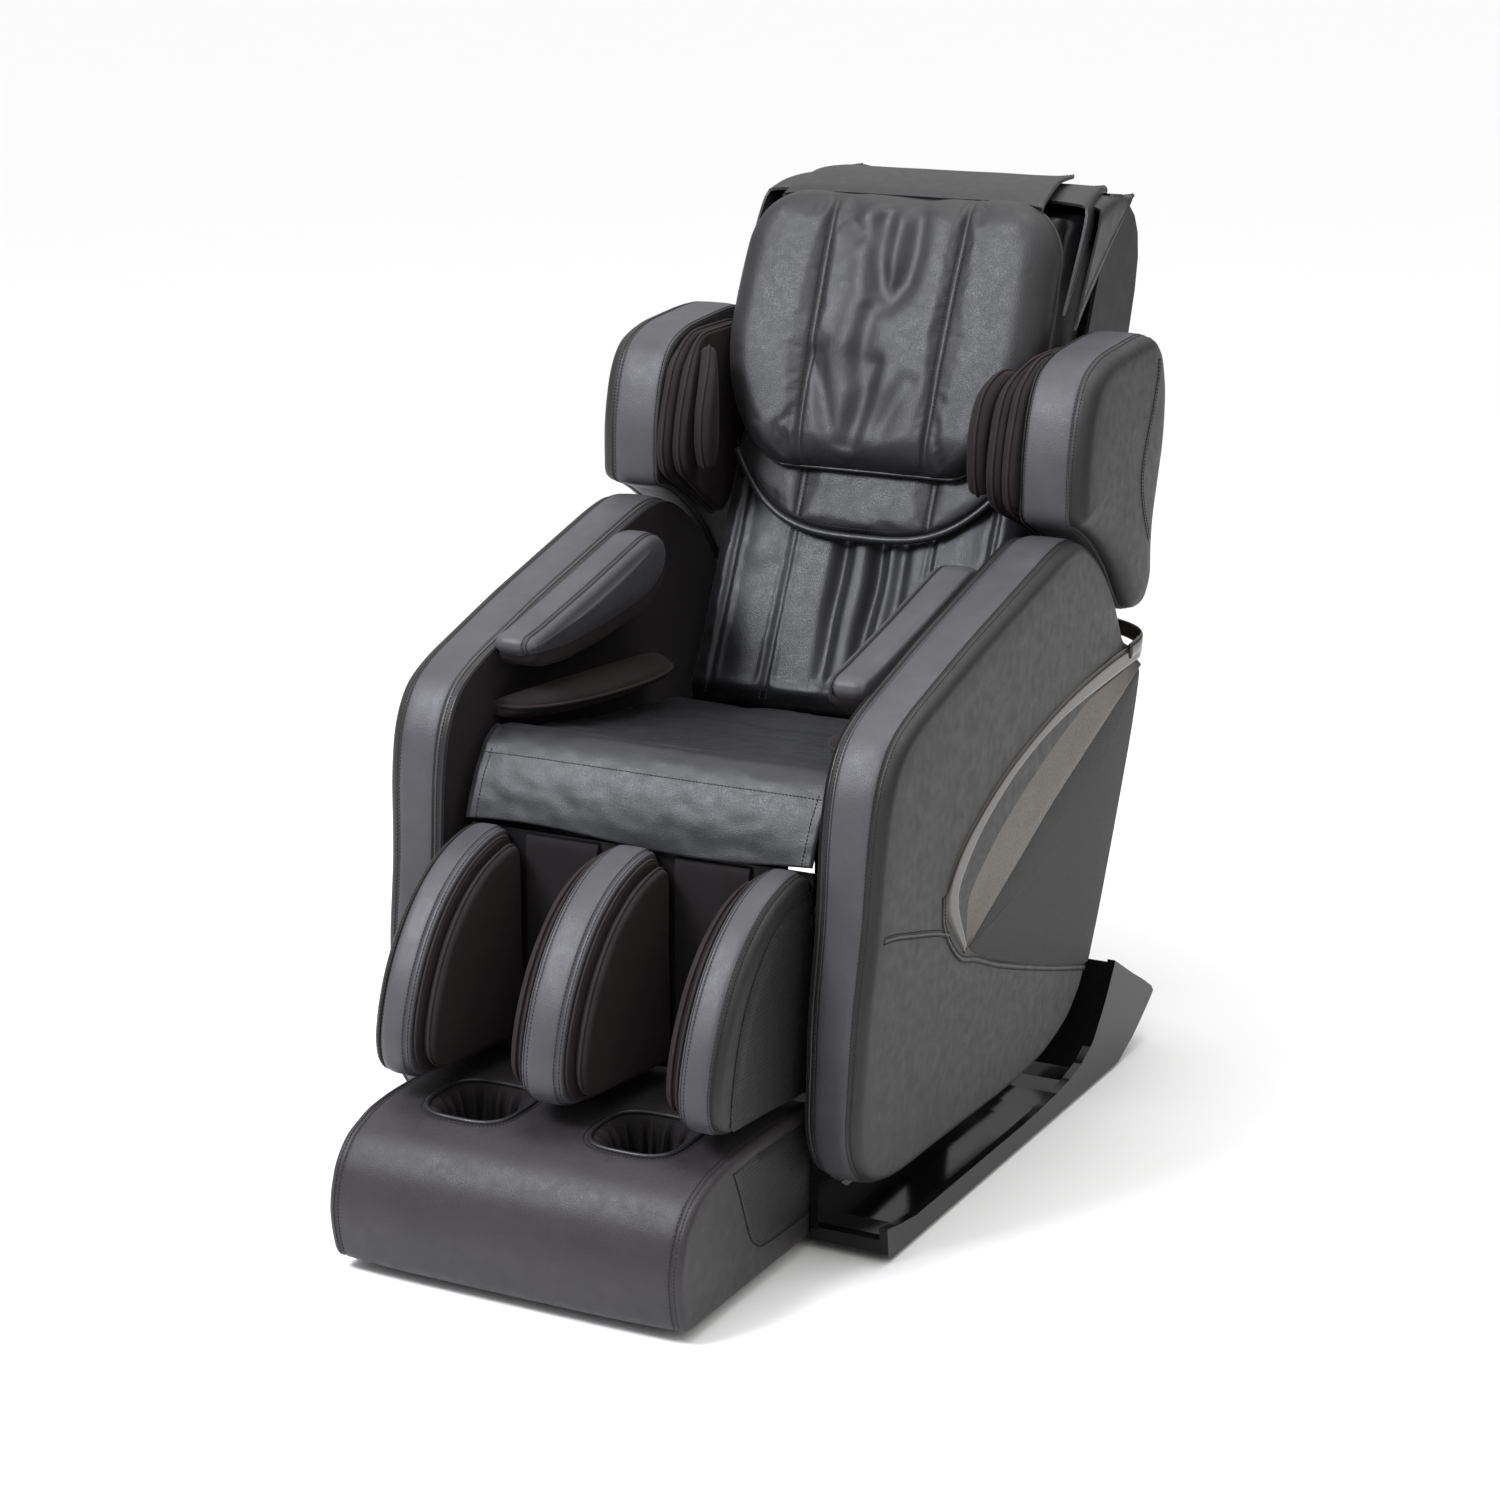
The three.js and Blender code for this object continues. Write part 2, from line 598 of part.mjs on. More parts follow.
function addLegRest() {
  add("calf_frame", calfShell(), SHELL_PLASTIC);
  addPair("calf_pad", slab(PAD_OUTLINE, 197, LEG_HALF), GREY_LEATHER);
  add("calf_pad_middle", slab(PAD_OUTLINE, -30, 30), GREY_LEATHER);
  const bag = inset(PAD_OUTLINE, AIRBAG_INSET).map(([y, z]) => [Math.min(y, CALF_BACK_Y - GAP), z]);
  addPair("calf_airbag_inner", slab(bag, 30 + GAP, 58), AIRBAG_FABRIC);
  addPair("calf_airbag_outer", slab(bag, 168, 197 - GAP), AIRBAG_FABRIC);
  add("foot_box", footBox(), LEATHER);
  add("sole_roller", soleRoller(), ROLLER);
}

addBase();
addSeat();
addArm();
for (const [name, { x, tail, head, tube }] of Object.entries(ACTUATORS)) addActuator(name, x, tail,
  head, tube);
addBackrest();
addLegRest();

export default chair;
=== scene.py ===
"""A full-body massage chair: its looks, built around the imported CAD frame. Metres, +Z up, facing -Y.

Side outlines are lists of [y, z] in millimetres in the drawing's own frame; SHIFT_Y is added to y to reach
the part's frame.
"""

import json
import math

import bmesh
import bpy
import numpy as np
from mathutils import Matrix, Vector, noise


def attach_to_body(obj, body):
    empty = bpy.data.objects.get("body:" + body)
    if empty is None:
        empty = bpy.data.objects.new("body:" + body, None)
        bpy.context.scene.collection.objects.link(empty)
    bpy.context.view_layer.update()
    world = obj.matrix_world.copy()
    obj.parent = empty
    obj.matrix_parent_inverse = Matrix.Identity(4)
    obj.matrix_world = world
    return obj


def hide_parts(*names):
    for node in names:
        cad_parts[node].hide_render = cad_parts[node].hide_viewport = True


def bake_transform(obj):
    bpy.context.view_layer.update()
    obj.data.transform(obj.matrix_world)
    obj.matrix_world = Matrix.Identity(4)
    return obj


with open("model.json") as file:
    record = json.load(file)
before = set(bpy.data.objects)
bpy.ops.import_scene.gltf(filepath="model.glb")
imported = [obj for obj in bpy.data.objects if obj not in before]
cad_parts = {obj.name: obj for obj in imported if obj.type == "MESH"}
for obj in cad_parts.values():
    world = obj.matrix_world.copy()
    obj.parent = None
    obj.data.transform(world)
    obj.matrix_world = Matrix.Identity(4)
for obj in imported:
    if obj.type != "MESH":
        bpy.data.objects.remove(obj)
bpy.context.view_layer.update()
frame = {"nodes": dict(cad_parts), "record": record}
NODES = frame["nodes"]

MM = 0.001
SHIFT_Y = 0.0447
BACK_PIVOT = (180, 440)
BACK_LEAN = math.radians(25)
SIDES = ((1, "right"), (-1, "left"))


# ---------------------------------------------------------------- camera
LENS = 81.3
CAMERA_PLACE = (2.0847, -4.1117 + SHIFT_Y, 1.8343)
CAMERA_DOWN = 15.62
CAMERA_TURN = 27.35


def make_camera():
    camera = bpy.data.objects.new("camera", bpy.data.cameras.new("camera"))
    bpy.context.scene.collection.objects.link(camera)
    camera.data.sensor_width = 36
    camera.data.lens = LENS
    camera.location = CAMERA_PLACE
    camera.rotation_euler = (math.radians(90 - CAMERA_DOWN), 0, math.radians(CAMERA_TURN))
    bpy.context.scene.camera = camera


make_camera()


# ---------------------------------------------------------------- curves
def spline(points, closed=False, steps=8):
    """Points on a Catmull-Rom curve through a few points."""
    pts = np.array(points, float)
    n = len(pts)
    out = []
    for i in range(n if closed else n - 1):
        if closed:
            a, b, c, d = (pts[(i + k) % n] for k in (-1, 0, 1, 2))
        else:
            b, c = pts[i], pts[i + 1]
            a = pts[i - 1] if i else 2 * b - c
            d = pts[i + 2] if i + 2 < n else 2 * c - b
        for t in np.linspace(0, 1, steps, endpoint=False):
            out.append(
                0.5
                * (2 * b + (c - a) * t + (2 * a - 5 * b + 4 * c - d) * t**2 + (3 * b - a - 3 * c + d) * t**3)
            )
    if not closed:
        out.append(pts[-1])
    return np.array(out)


def resample(points, count, closed=False):
    """The same polyline with points at equal spacing."""
    pts = np.array(points, float)
    if closed:
        pts = np.vstack([pts, pts[:1]])
    length = np.concatenate([[0], np.cumsum(np.linalg.norm(np.diff(pts, axis=0), axis=1))])
    where = np.linspace(0, length[-1], count + 1 if closed else count)
    if closed:
        where = where[:-1]
    return np.stack([np.interp(where, length, pts[:, k]) for k in range(pts.shape[1])], 1)


def rounded(points, radius=14, steps=5):
    """A closed polygon with its corners rounded."""
    pts = np.array(points, float)
    n = len(pts)
    out = []
    for i in range(n):
        a, b, c = pts[i - 1], pts[i], pts[(i + 1) % n]
        r = min(radius, 0.45 * np.linalg.norm(a - b), 0.45 * np.linalg.norm(c - b))
        p = b + (a - b) / np.linalg.norm(a - b) * r
        q = b + (c - b) / np.linalg.norm(c - b) * r
        for t in np.linspace(0, 1, steps):
            out.append((1 - t) ** 2 * p + 2 * t * (1 - t) * b + t**2 * q)
    return np.array(out)


def normals2d(points):
    """Outward unit normals of a closed anticlockwise outline."""
    along = np.roll(points, -1, 0) - np.roll(points, 1, 0)
    along /= np.linalg.norm(along, axis=1)[:, None] + 1e-9
    return np.stack([along[:, 1], -along[:, 0]], 1)


def anticlockwise(points):
    x, y = points[:, 0], points[:, 1]
    area = np.sum(x * np.roll(y, -1) - np.roll(x, -1) * y)
    return points if area > 0 else points[::-1]


def smooth_outline(points, count, radius=14, blur=2):
    """An outline with rounded corners, equal spacing and no kinks."""
    pts = resample(rounded(points, radius), count, closed=True)
    for _ in range(blur):
        pts = (np.roll(pts, 1, 0) + 2 * pts + np.roll(pts, -1, 0)) / 4
    return anticlockwise(pts)


# ---------------------------------------------------------------- places
def drawn(x, y, z):
    """A point of the drawing, in millimetres, in the frame's metres."""
    return (x * MM, y * MM + SHIFT_Y, z * MM)


def leaned(x, w, u):
    """A point of the upright backrest: across, rearwards and up from its hinge."""
    y = BACK_PIVOT[0] + w * math.cos(BACK_LEAN) + u * math.sin(BACK_LEAN)
    z = BACK_PIVOT[1] + u * math.cos(BACK_LEAN) - w * math.sin(BACK_LEAN)
    return drawn(x, y, z)


# ---------------------------------------------------------------- meshes
def mesh_object(name, verts, faces, materials, smooth=True):
    mesh = bpy.data.meshes.new(name)
    mesh.from_pydata([tuple(v) for v in verts], [], faces)
    obj = bpy.data.objects.new(name, mesh)
    bpy.context.scene.collection.objects.link(obj)
    for m in materials if isinstance(materials, (list, tuple)) else [materials]:
        mesh.materials.append(m)
    mesh.polygons.foreach_set("use_smooth", [smooth] * len(mesh.polygons))
    mesh.update()
    return obj


def face_out(obj):
    """Turns every face of a closed mesh outwards."""
    bm = bmesh.new()
    bm.from_mesh(obj.data)
    bmesh.ops.recalc_face_normals(bm, faces=bm.faces)
    bm.to_mesh(obj.data)
    bm.free()
    return obj


def apply_modifiers(obj):
    bpy.context.view_layer.update()
    baked = bpy.data.meshes.new_from_object(obj.evaluated_get(bpy.context.evaluated_depsgraph_get()))
    obj.modifiers.clear()
    obj.data = baked
    return obj


def ring_mesh(rings, cap=True):
    """Vertices and faces of a tube of closed rings with the same number of points, closed at both ends."""
    count = len(rings[0])
    verts = [v for ring in rings for v in ring]
    faces = []
    for r in range(len(rings) - 1):
        a, b = r * count, (r + 1) * count
        faces += [(a + i, a + (i + 1) % count, b + (i + 1) % count, b + i) for i in range(count)]
    if cap:
        faces.append(tuple(range(count))[::-1])
        last = (len(rings) - 1) * count
        faces.append(tuple(range(last, last + count)))
    return verts, faces


def closed_ring_mesh(rings):
    """Vertices and faces of a tube whose last ring joins its first."""
    verts, faces = ring_mesh(rings + [rings[0]], cap=False)
    last = len(rings) * len(rings[0])
    return verts[:last], [tuple(v - last if v >= last else v for v in f) for f in faces]


def from_gap(path):
    """A loop that was cut open, starting just past the cut."""
    gap = int(np.argmax(np.linalg.norm(np.diff(path, axis=0), axis=1)))
    return np.roll(path, -gap - 1, 0)


def wrinkle(point, size, stretch=(1, 1, 1), seed=0.0):
    """Smooth noise between about -1 and 1, the size of a fold in metres."""
    p = Vector((point[0] * stretch[0], point[1] * stretch[1], point[2] * stretch[2])) / size
    return noise.noise(p + Vector((seed, seed * 1.7, -seed)))


class Slab:
    """A padded slab: an outline drawn in [y, z] and lofted across X, with a bulging rim and domed ends."""

    def __init__(
        self, outline, x0, x1, centre, rim=4, corner0=8, corner1=8, dome0=2, dome1=2, seams=(), groove=1.6,
        count=180, cap_rings=14, place=drawn, taper=None, lean=None, radius=14, rim_steps=14,
    ):
        self.place = place
        self.taper = taper
        self.lean = lean
        self.pts = smooth_outline(outline, count, radius)
        self.normal = normals2d(self.pts)
        self.centre = np.array(centre, float)
        self.x0, self.x1, self.rim = x0, x1, rim
        self.corner0, self.corner1, self.dome0, self.dome1 = corner0, corner1, dome0, dome1
        self.seams, self.groove = seams, groove
        self.cap_rings, self.rim_steps = cap_rings, rim_steps

    def rim_out(self, x):
        """How far the rim stands out at a place across the slab."""
        a, b = self.x0 + self.corner0, self.x1 - self.corner1
        t = min(max((x - a) / max(b - a, 1e-6), 0), 1)
        out = self.rim * (1 - (2 * t - 1) ** 4)
        for s in self.seams:
            out -= self.groove * math.exp(-(((x - s) / 2.2) ** 2))
        return out

    def put(self, x, y, z):
        if self.taper:
            x = self.taper(x, z)
        if self.lean:
            x = self.lean(x, y, z)
        return self.place(x, y, z)

    def ring(self, x, out, shrink=0.0):
        p = self.pts + self.normal * out
        p = self.centre + (p - self.centre) * (1 - shrink)
        return [self.put(x, q[0], q[1]) for q in p]

    def sections(self):
        """(x, out, shrink) for every ring from the middle of one end to the middle of the other."""
        rows = []
        spread = np.linspace(0.985, 0, self.cap_rings) ** 0.8
        for s in spread[:-1]:
            rows.append((self.x0 - self.dome0 * (1 - (1 - s) ** 3), -self.corner0, s))
        for a in np.linspace(0, math.pi / 2, 5):
            out = -self.corner0 * (1 - math.sin(a))
            rows.append((self.x0 + self.corner0 * (1 - math.cos(a)), out, 0))
        xs = list(np.linspace(self.x0 + self.corner0, self.x1 - self.corner1, self.rim_steps)[1:-1])
        for s in self.seams:
            xs += [s - 3.5, s - 1.6, s, s + 1.6, s + 3.5]
        rows += [(x, self.rim_out(x), 0) for x in sorted(xs)]
        for a in np.linspace(math.pi / 2, 0, 5):
            out = -self.corner1 * (1 - math.sin(a))
            rows.append((self.x1 - self.corner1 * (1 - math.cos(a)), out, 0))
        for s in spread[::-1][1:]:
            rows.append((self.x1 + self.dome1 * (1 - (1 - s) ** 3), -self.corner1, s))
        return rows

    def build(self, name, material, side=1):
        rows = self.sections()
        verts, faces = ring_mesh([self.ring(*row) for row in rows])
        verts = [(side * v[0], v[1], v[2]) for v in verts]
        return face_out(mesh_object(name, verts, faces, material))

    def rim_path(self, x, side=1, lift=0.4):
        """Points on the rim at one place across the slab."""
        ring = self.pts + self.normal * (self.rim_out(x) + lift)
        points = [self.put(x, q[0], q[1]) for q in ring]
        return np.array([(side * p[0], p[1], p[2]) for p in points])

    def share(self, y, z):
        """0 at the middle of an end, 1 at its edge, along a ray from the centre."""
        d = np.array([y, z], float) - self.centre
        edge = self.pts - self.normal * self.corner1 - self.centre
        turn = np.arctan2(edge[:, 1], edge[:, 0])
        mine = math.atan2(d[1], d[0])
        near = np.argmin(np.abs(np.angle(np.exp(1j * (turn - mine)))))
        return min(np.linalg.norm(d) / np.linalg.norm(edge[near]), 1.0)

    def on_end(self, y, z, lift=0.5, side=1):
        """A point on the end at x1."""
        x = self.x1 + self.dome1 * (1 - self.share(y, z) ** 3) + lift
        p = self.put(x, y, z)
        return (side * p[0], p[1], p[2])


def path_frames(points, closed):
    pts = [Vector(p) for p in points]
    n = len(pts)
    along = []
    for i in range(n):
        a = pts[i - 1] if (i or closed) else pts[0]
        b = pts[(i + 1) % n] if (i + 1 < n or closed) else pts[-1]
        d = b - a
        along.append(d.normalized() if d.length > 1e-9 else Vector((0, 0, 1)))
    up = along[0].orthogonal().normalized()
    frames = []
    for i in range(n):
        up = (up - along[i] * up.dot(along[i])).normalized()
        frames.append((pts[i], up.copy(), along[i].cross(up)))
    return frames


def tube(name, points, radius, material, closed=False, sides=8, flat=1.0, out=None):
    """A round welt along a path, or a flat one where flat is under 1 and out gives the thin direction."""
    rings = []
    for i, (p, up, across) in enumerate(path_frames(points, closed)):
        if out is not None:
            thin = Vector(out(i) if callable(out) else out).normalized()
            wide = across.cross(up).cross(thin).normalized()
        else:
            thin, wide = up, across
        rings.append([
            tuple(p + thin * (radius * flat * math.cos(a)) + wide * (radius * math.sin(a)))
            for a in (2 * math.pi * k / sides for k in range(sides))
        ])
    if closed:
        verts, faces = closed_ring_mesh(rings)
    else:
        verts, faces = ring_mesh(rings)
    return face_out(mesh_object(name, verts, faces, material))


STITCH_LENGTH = 0.0038
STITCH_PITCH = 0.0052
STITCH_RADIUS = 0.0008


def stitches(name, paths, material=None):
    """A row of thread stitches along each path."""
    verts, faces = [], []
    for path in paths:
        pts = np.array(path, float)
        length = np.linalg.norm(np.diff(pts, axis=0), axis=1).sum()
        count = max(int(length / STITCH_PITCH), 2)
        places = resample(pts, count * 2)
        for k in range(0, len(places) - 1, 2):
            a, b = Vector(places[k]), Vector(places[k + 1])
            if (b - a).length < 1e-6:
                continue
            d = (b - a).normalized()
            middle = (a + b) / 2
            up = d.orthogonal().normalized()
            side = d.cross(up)
            base = len(verts)
            for s, r in ((-0.5, 0.4), (-0.3, 1), (0.3, 1), (0.5, 0.4)):
                for j in range(5):
                    angle = 2 * math.pi * j / 5
                    spoke = up * math.cos(angle) + side * math.sin(angle)
                    verts.append(tuple(middle + d * STITCH_LENGTH * s + spoke * STITCH_RADIUS * r))
            for ring in range(3):
                for j in range(5):
                    p, q = base + ring * 5 + j, base + ring * 5 + (j + 1) % 5
                    faces.append((p, q, q + 5, p + 5))
            faces.append(tuple(base + j for j in range(5))[::-1])
            faces.append(tuple(base + 15 + j for j in range(5)))
    return face_out(mesh_object(name, verts, faces, material or THREAD))


def attach(piece, body, slot_name, *nodes):
    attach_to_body(piece, body)
    if nodes:
        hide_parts(*nodes)
    return piece


# ---------------------------------------------------------------- materials
class Shader:
    """A Principled material with helpers to add its procedural detail."""

    def __init__(self, name, color, roughness, metallic=0.0, specular=0.5):
        self.material = bpy.data.materials.new(name)
        self.material.use_nodes = True
        self.tree = self.material.node_tree
        self.bsdf = self.tree.nodes["Principled BSDF"]
        self.set("Base Color", (*color, 1))
        self.set("Roughness", roughness)
        self.set("Metallic", metallic)
        self.set("Specular IOR Level", specular)
        self.material.diffuse_color = (*color, 1)
        self.bump = None
        self.place = self.node("ShaderNodeTexCoord").outputs["Object"]

    def set(self, socket, value):
        self.bsdf.inputs[socket].default_value = value

    def node(self, kind, **values):
        node = self.tree.nodes.new(kind)
        for key, value in values.items():
            setattr(node, key, value)
        return node

    def link(self, a, b):
        self.tree.links.new(a, b)

    def noise(self, scale, detail=3.0, stretch=(1, 1, 1)):
        node = self.node("ShaderNodeTexNoise")
        node.inputs["Scale"].default_value = scale
        node.inputs["Detail"].default_value = detail
        mapping = self.node("ShaderNodeMapping")
        mapping.inputs["Scale"].default_value = stretch
        self.link(self.place, mapping.inputs["Vector"])
        self.link(mapping.outputs["Vector"], node.inputs["Vector"])
        return node.outputs["Fac"]

    def cells(self, scale):
        node = self.node("ShaderNodeTexVoronoi", feature="SMOOTH_F1")
        node.inputs["Scale"].default_value = scale
        node.inputs["Smoothness"].default_value = 0.35
        self.link(self.place, node.inputs["Vector"])
        return node.outputs["Distance"]

    def math(self, operation, a, b=None, c=None):
        node = self.node("ShaderNodeMath", operation=operation)
        for i, value in enumerate((a, b, c)):
            if value is None:
                continue
            if hasattr(value, "node"):
                self.link(value, node.inputs[i])
            else:
                node.inputs[i].default_value = value
        return node.outputs[0]

    def ramp(self, source, low, high, a=0.0, b=1.0):
        node = self.node("ShaderNodeMapRange")
        node.inputs["From Min"].default_value = low
        node.inputs["From Max"].default_value = high
        node.inputs["To Min"].default_value = a
        node.inputs["To Max"].default_value = b
        self.link(source, node.inputs["Value"])
        return node.outputs["Result"]

    def add_bump(self, height, distance, strength=1.0):
        node = self.node("ShaderNodeBump")
        node.inputs["Distance"].default_value = distance
        node.inputs["Strength"].default_value = strength
        self.link(height, node.inputs["Height"])
        if self.bump:
            self.link(self.bump, node.inputs["Normal"])
        self.bump = node.outputs["Normal"]
        self.link(self.bump, self.bsdf.inputs["Normal"])

    def color_between(self, factor, dark, light):
        node = self.node("ShaderNodeMix", data_type="RGBA")
        node.inputs["A"].default_value = (*dark, 1)
        node.inputs["B"].default_value = (*light, 1)
        self.link(factor, node.inputs["Factor"])
        self.link(node.outputs["Result"], self.bsdf.inputs["Base Color"])

    def roughness_between(self, factor, low, high):
        self.link(self.ramp(factor, 0, 1, low, high), self.bsdf.inputs["Roughness"])


def tint(color, factor):
    return tuple(min(c * factor, 1) for c in color)


def leather(name, color, roughness=0.44, grain=1.0):
    s = Shader(name, color, roughness, specular=0.36)
    s.set("Sheen Weight", 0.03)
    s.set("Sheen Roughness", 0.5)
    pebbles = s.cells(900)
    pores = s.noise(2400, 2)
    broad = s.noise(14, 4)
    s.color_between(s.ramp(broad, 0.3, 0.7), tint(color, 0.86), tint(color, 1.14))
    s.roughness_between(s.ramp(s.noise(60, 4), 0.3, 0.7), roughness - 0.05, roughness + 0.07)
    s.add_bump(s.noise(26, 3), 0.004, 0.10)
    s.add_bump(pebbles, 0.00045 * grain, 0.55)
    s.add_bump(pores, 0.00012, 0.4)
    return s.material


def cloth(name, color, thread=0.0011):
    """Stretch cloth of the airbags: a fine knit with a soft sheen."""
    s = Shader(name, color, 0.78, specular=0.25)
    s.set("Sheen Weight", 0.08)
    s.set("Sheen Roughness", 0.4)
    s.set("Sheen Tint", (0.55, 0.45, 0.45, 1))
    split = s.node("ShaderNodeSeparateXYZ")
    s.link(s.place, split.inputs[0])
    x, y, z = split.outputs
    wave = 2 * math.pi / thread
    rows = s.math("SINE", s.math("MULTIPLY", s.math("ADD", z, s.math("MULTIPLY", y, 0.35)), wave))
    columns = s.math("SINE", s.math("MULTIPLY", s.math("ADD", x, s.math("MULTIPLY", y, 0.8)), wave))
    s.add_bump(s.noise(34, 3), 0.003, 0.12)
    s.add_bump(s.math("MULTIPLY", rows, columns), 0.00025, 0.5)
    s.color_between(s.ramp(s.noise(20, 4), 0.3, 0.7), tint(color, 0.8), tint(color, 1.2))
    return s.material


def perforated(name, color, pitch=0.0062, hole=0.24, roughness=0.5):
    """Leather with a staggered grid of small holes across Y and Z."""
    s = Shader(name, color, roughness, specular=0.4)
    split = s.node("ShaderNodeSeparateXYZ")
    s.link(s.place, split.inputs[0])
    lattices = []
    for offset in (0.0, 0.5):
        cells = []
        for axis, stretch in (("Y", 1.0), ("Z", 1.732)):
            scaled = s.math("MULTIPLY_ADD", split.outputs[axis], 1 / pitch / stretch, offset + 40)
            near = s.math("SUBTRACT", s.math("FRACT", scaled), 0.5)
            cells.append(s.math("POWER", s.math("MULTIPLY", near, stretch), 2.0))
        lattices.append(s.math("SQRT", s.math("ADD", *cells)))
    mask = s.ramp(s.math("MINIMUM", *lattices), hole * 0.75, hole * 1.25)
    s.add_bump(s.noise(26, 3), 0.004, 0.08)
    s.add_bump(mask, 0.0012, 0.9)
    s.add_bump(s.cells(900), 0.0004, 0.4)
    s.color_between(mask, tint(color, 0.12), color)
    return s.material


def ribbed_mesh(name, color, pitch=0.0030):
    """A coarse woven side panel, finely ribbed, with painted shade in its grooves and painted highlight on its
    ribs.
    """
    s = Shader(name, color, 0.52, specular=0.4)
    split = s.node("ShaderNodeSeparateXYZ")
    s.link(s.place, split.inputs[0])
    wave = 2 * math.pi / pitch
    rows = s.math("SINE", s.math("MULTIPLY", split.outputs["Z"], wave))
    dots = s.math("SINE", s.math("MULTIPLY", split.outputs["Y"], wave * 0.8))
    weave = s.math("MULTIPLY_ADD", rows, dots, rows)
    s.add_bump(s.noise(18, 3), 0.004, 0.08)
    s.add_bump(weave, 0.0005, 0.6)
    # Colour follows the weave's relief: painted shade in the grooves, painted highlight on the ribs.
    s.color_between(s.ramp(weave, -1.2, 1.2), tint(color, 0.55), tint(color, 1.25))
    return s.material


def moulded(name, color, roughness, coat=0.0, grain=0.00006, specular=0.4):
    s = Shader(name, color, roughness, specular=specular)
    if coat:
        s.set("Coat Weight", coat)
        s.set("Coat Roughness", 0.03)
    s.add_bump(s.noise(1400, 2), grain, 0.3)
    s.color_between(s.ramp(s.noise(9, 3), 0.3, 0.7), tint(color, 0.93), tint(color, 1.07))
    s.roughness_between(s.ramp(s.noise(35, 4), 0.3, 0.7), max(roughness - 0.02, 0.02), roughness + 0.03)
    return s.material


def metal(name, color, roughness, brushed=(1, 1, 1)):
    s = Shader(name, color, roughness, metallic=1.0)
    s.add_bump(s.noise(500, 3, brushed), 0.00005, 0.5)
    s.color_between(s.ramp(s.noise(12, 4), 0.3, 0.7), tint(color, 0.9), tint(color, 1.1))
    s.roughness_between(s.ramp(s.noise(300, 3, brushed), 0.3, 0.7), roughness * 0.8, roughness * 1.25)
    return s.material


DARK = leather("leather_charcoal", (0.012, 0.0115, 0.0125), 0.40)
SIDE = leather("leather_side", (0.009, 0.0088, 0.0087), 0.45)
GREY = leather("leather_grey", (0.042, 0.041, 0.046), 0.42)
SEAT = leather("leather_seat", (0.009, 0.009, 0.011), 0.36)
FOOT = leather("leather_foot", (0.019, 0.0165, 0.018), 0.47)
WELT = leather("leather_welt", (0.014, 0.014, 0.015), 0.34, 0.6)
BAG = cloth("airbag_cloth", (0.0085, 0.0055, 0.006))
BAG_EDGE = cloth("airbag_binding", (0.016, 0.011, 0.0115), 0.0008)
LINING = cloth("lining_cloth", (0.006, 0.0045, 0.005))
HOLES = perforated("leather_perforated", (0.014, 0.0135, 0.014))
RIBS = ribbed_mesh("side_mesh", (0.010, 0.0102, 0.0095))
GLOSS = moulded("gloss_black", (0.004, 0.004, 0.0045), 0.13, specular=0.22)
BRONZE_RIM = moulded("bronze_gloss", (0.026, 0.021, 0.016), 0.14, coat=0.35)
BRONZE_BLADE = metal("bronze_satin", (0.13, 0.118, 0.105), 0.42)
PLASTIC = moulded("shell_plastic", (0.007, 0.007, 0.0075), 0.5, grain=0.0002, specular=0.25)
STEEL = metal("black_steel", (0.05, 0.05, 0.055), 0.45)
ZINC = metal("zinc_steel", (0.55, 0.56, 0.58), 0.3, (1, 8, 1))
RUBBER = moulded("rubber", (0.012, 0.012, 0.012), 0.8, grain=0.0004)
ROLLER = moulded("roller_plastic", (0.45, 0.36, 0.24), 0.4)
THREAD = leather("thread", (0.006, 0.006, 0.0065), 0.6, 0.2)

SLOT_MATERIAL = {
    "gloss_black": GLOSS, "shell_plastic": PLASTIC, "black_steel": STEEL, "zinc_steel": ZINC,
    "rubber": RUBBER, "roller_plastic": ROLLER, "bronze_trim": BRONZE_RIM, "leather": DARK, "leather_grey": GREY,
    "airbag_fabric": BAG, "perforated_leather": RIBS,
}


def finish_cad_nodes():
    """Every CAD node that stays in sight gets its slot's procedural material."""
    for part in frame["record"]["subparts"]:
        for node_slot in NODES[part["node"]].material_slots:
            node_slot.material = SLOT_MATERIAL[part["material_slot"]]


finish_cad_nodes()


# ---------------------------------------------------------------- arms
ARM_OUTLINE = (
    [(-437, 122), (-383, 99), (-330, 90), (-170, 88), (28, 83), (161, 90), (252, 116), (300, 160), (309, 186)]
    + [(345, 270), (390, 400), (430, 520), (447, 610), (443, 640), (390, 660)]
    + [(373, 682), (346, 727), (306, 774), (250, 818), (205, 842), (165, 848), (120, 840), (50, 822)]
    + [(-150, 770), (-330, 716), (-385, 690), (-418, 640), (-432, 575), (-440, 460), (-460, 350), (-470, 180)]
)
PANEL_TOP = [(-157, 358), (-58, 405), (30, 446), (125, 490), (255, 542), (370, 588), (438, 616)]
PANEL_BOTTOM = [(284, 194), (120, 243), (-36, 298), (-125, 336), (-157, 358)]
PANEL_REAR = [(438, 618), (441, 600), (424, 520), (386, 402), (342, 278), (306, 190)]
RIM_OUTER = [
    (439, 646), (339, 651), (151, 629), (-42, 580), (-172, 520), (-226, 470), (-230, 425), (-165, 350),
]
RIM_INNER = [
    (430, 626), (401, 623), (152, 604), (10, 573), (-104, 524), (-178, 466), (-190, 428), (-157, 358),
]
SEAM_FRONT = [(-418, 444), (-380, 438), (-328, 425), (-262, 408), (-216, 392)]
SEAM_LOW = [
    (-240, 452), (-232, 405), (-180, 350), (-120, 328), (-36, 294), (120, 241), (284, 190), (300, 186),
]
ARM_INNER_X = 283
ARM_TOP_X = 380
ARM_LEAN = 0.036
ARM_LEAN_FROM_Z = 850


def arm_taper(x, z):
    """Leans the arm's outer face: the lower a point and the further out, the more it moves in."""
    share = max((x - ARM_INNER_X) / (ARM_TOP_X - ARM_INNER_X), 0)
    return x - share * ARM_LEAN * (ARM_LEAN_FROM_Z - z)


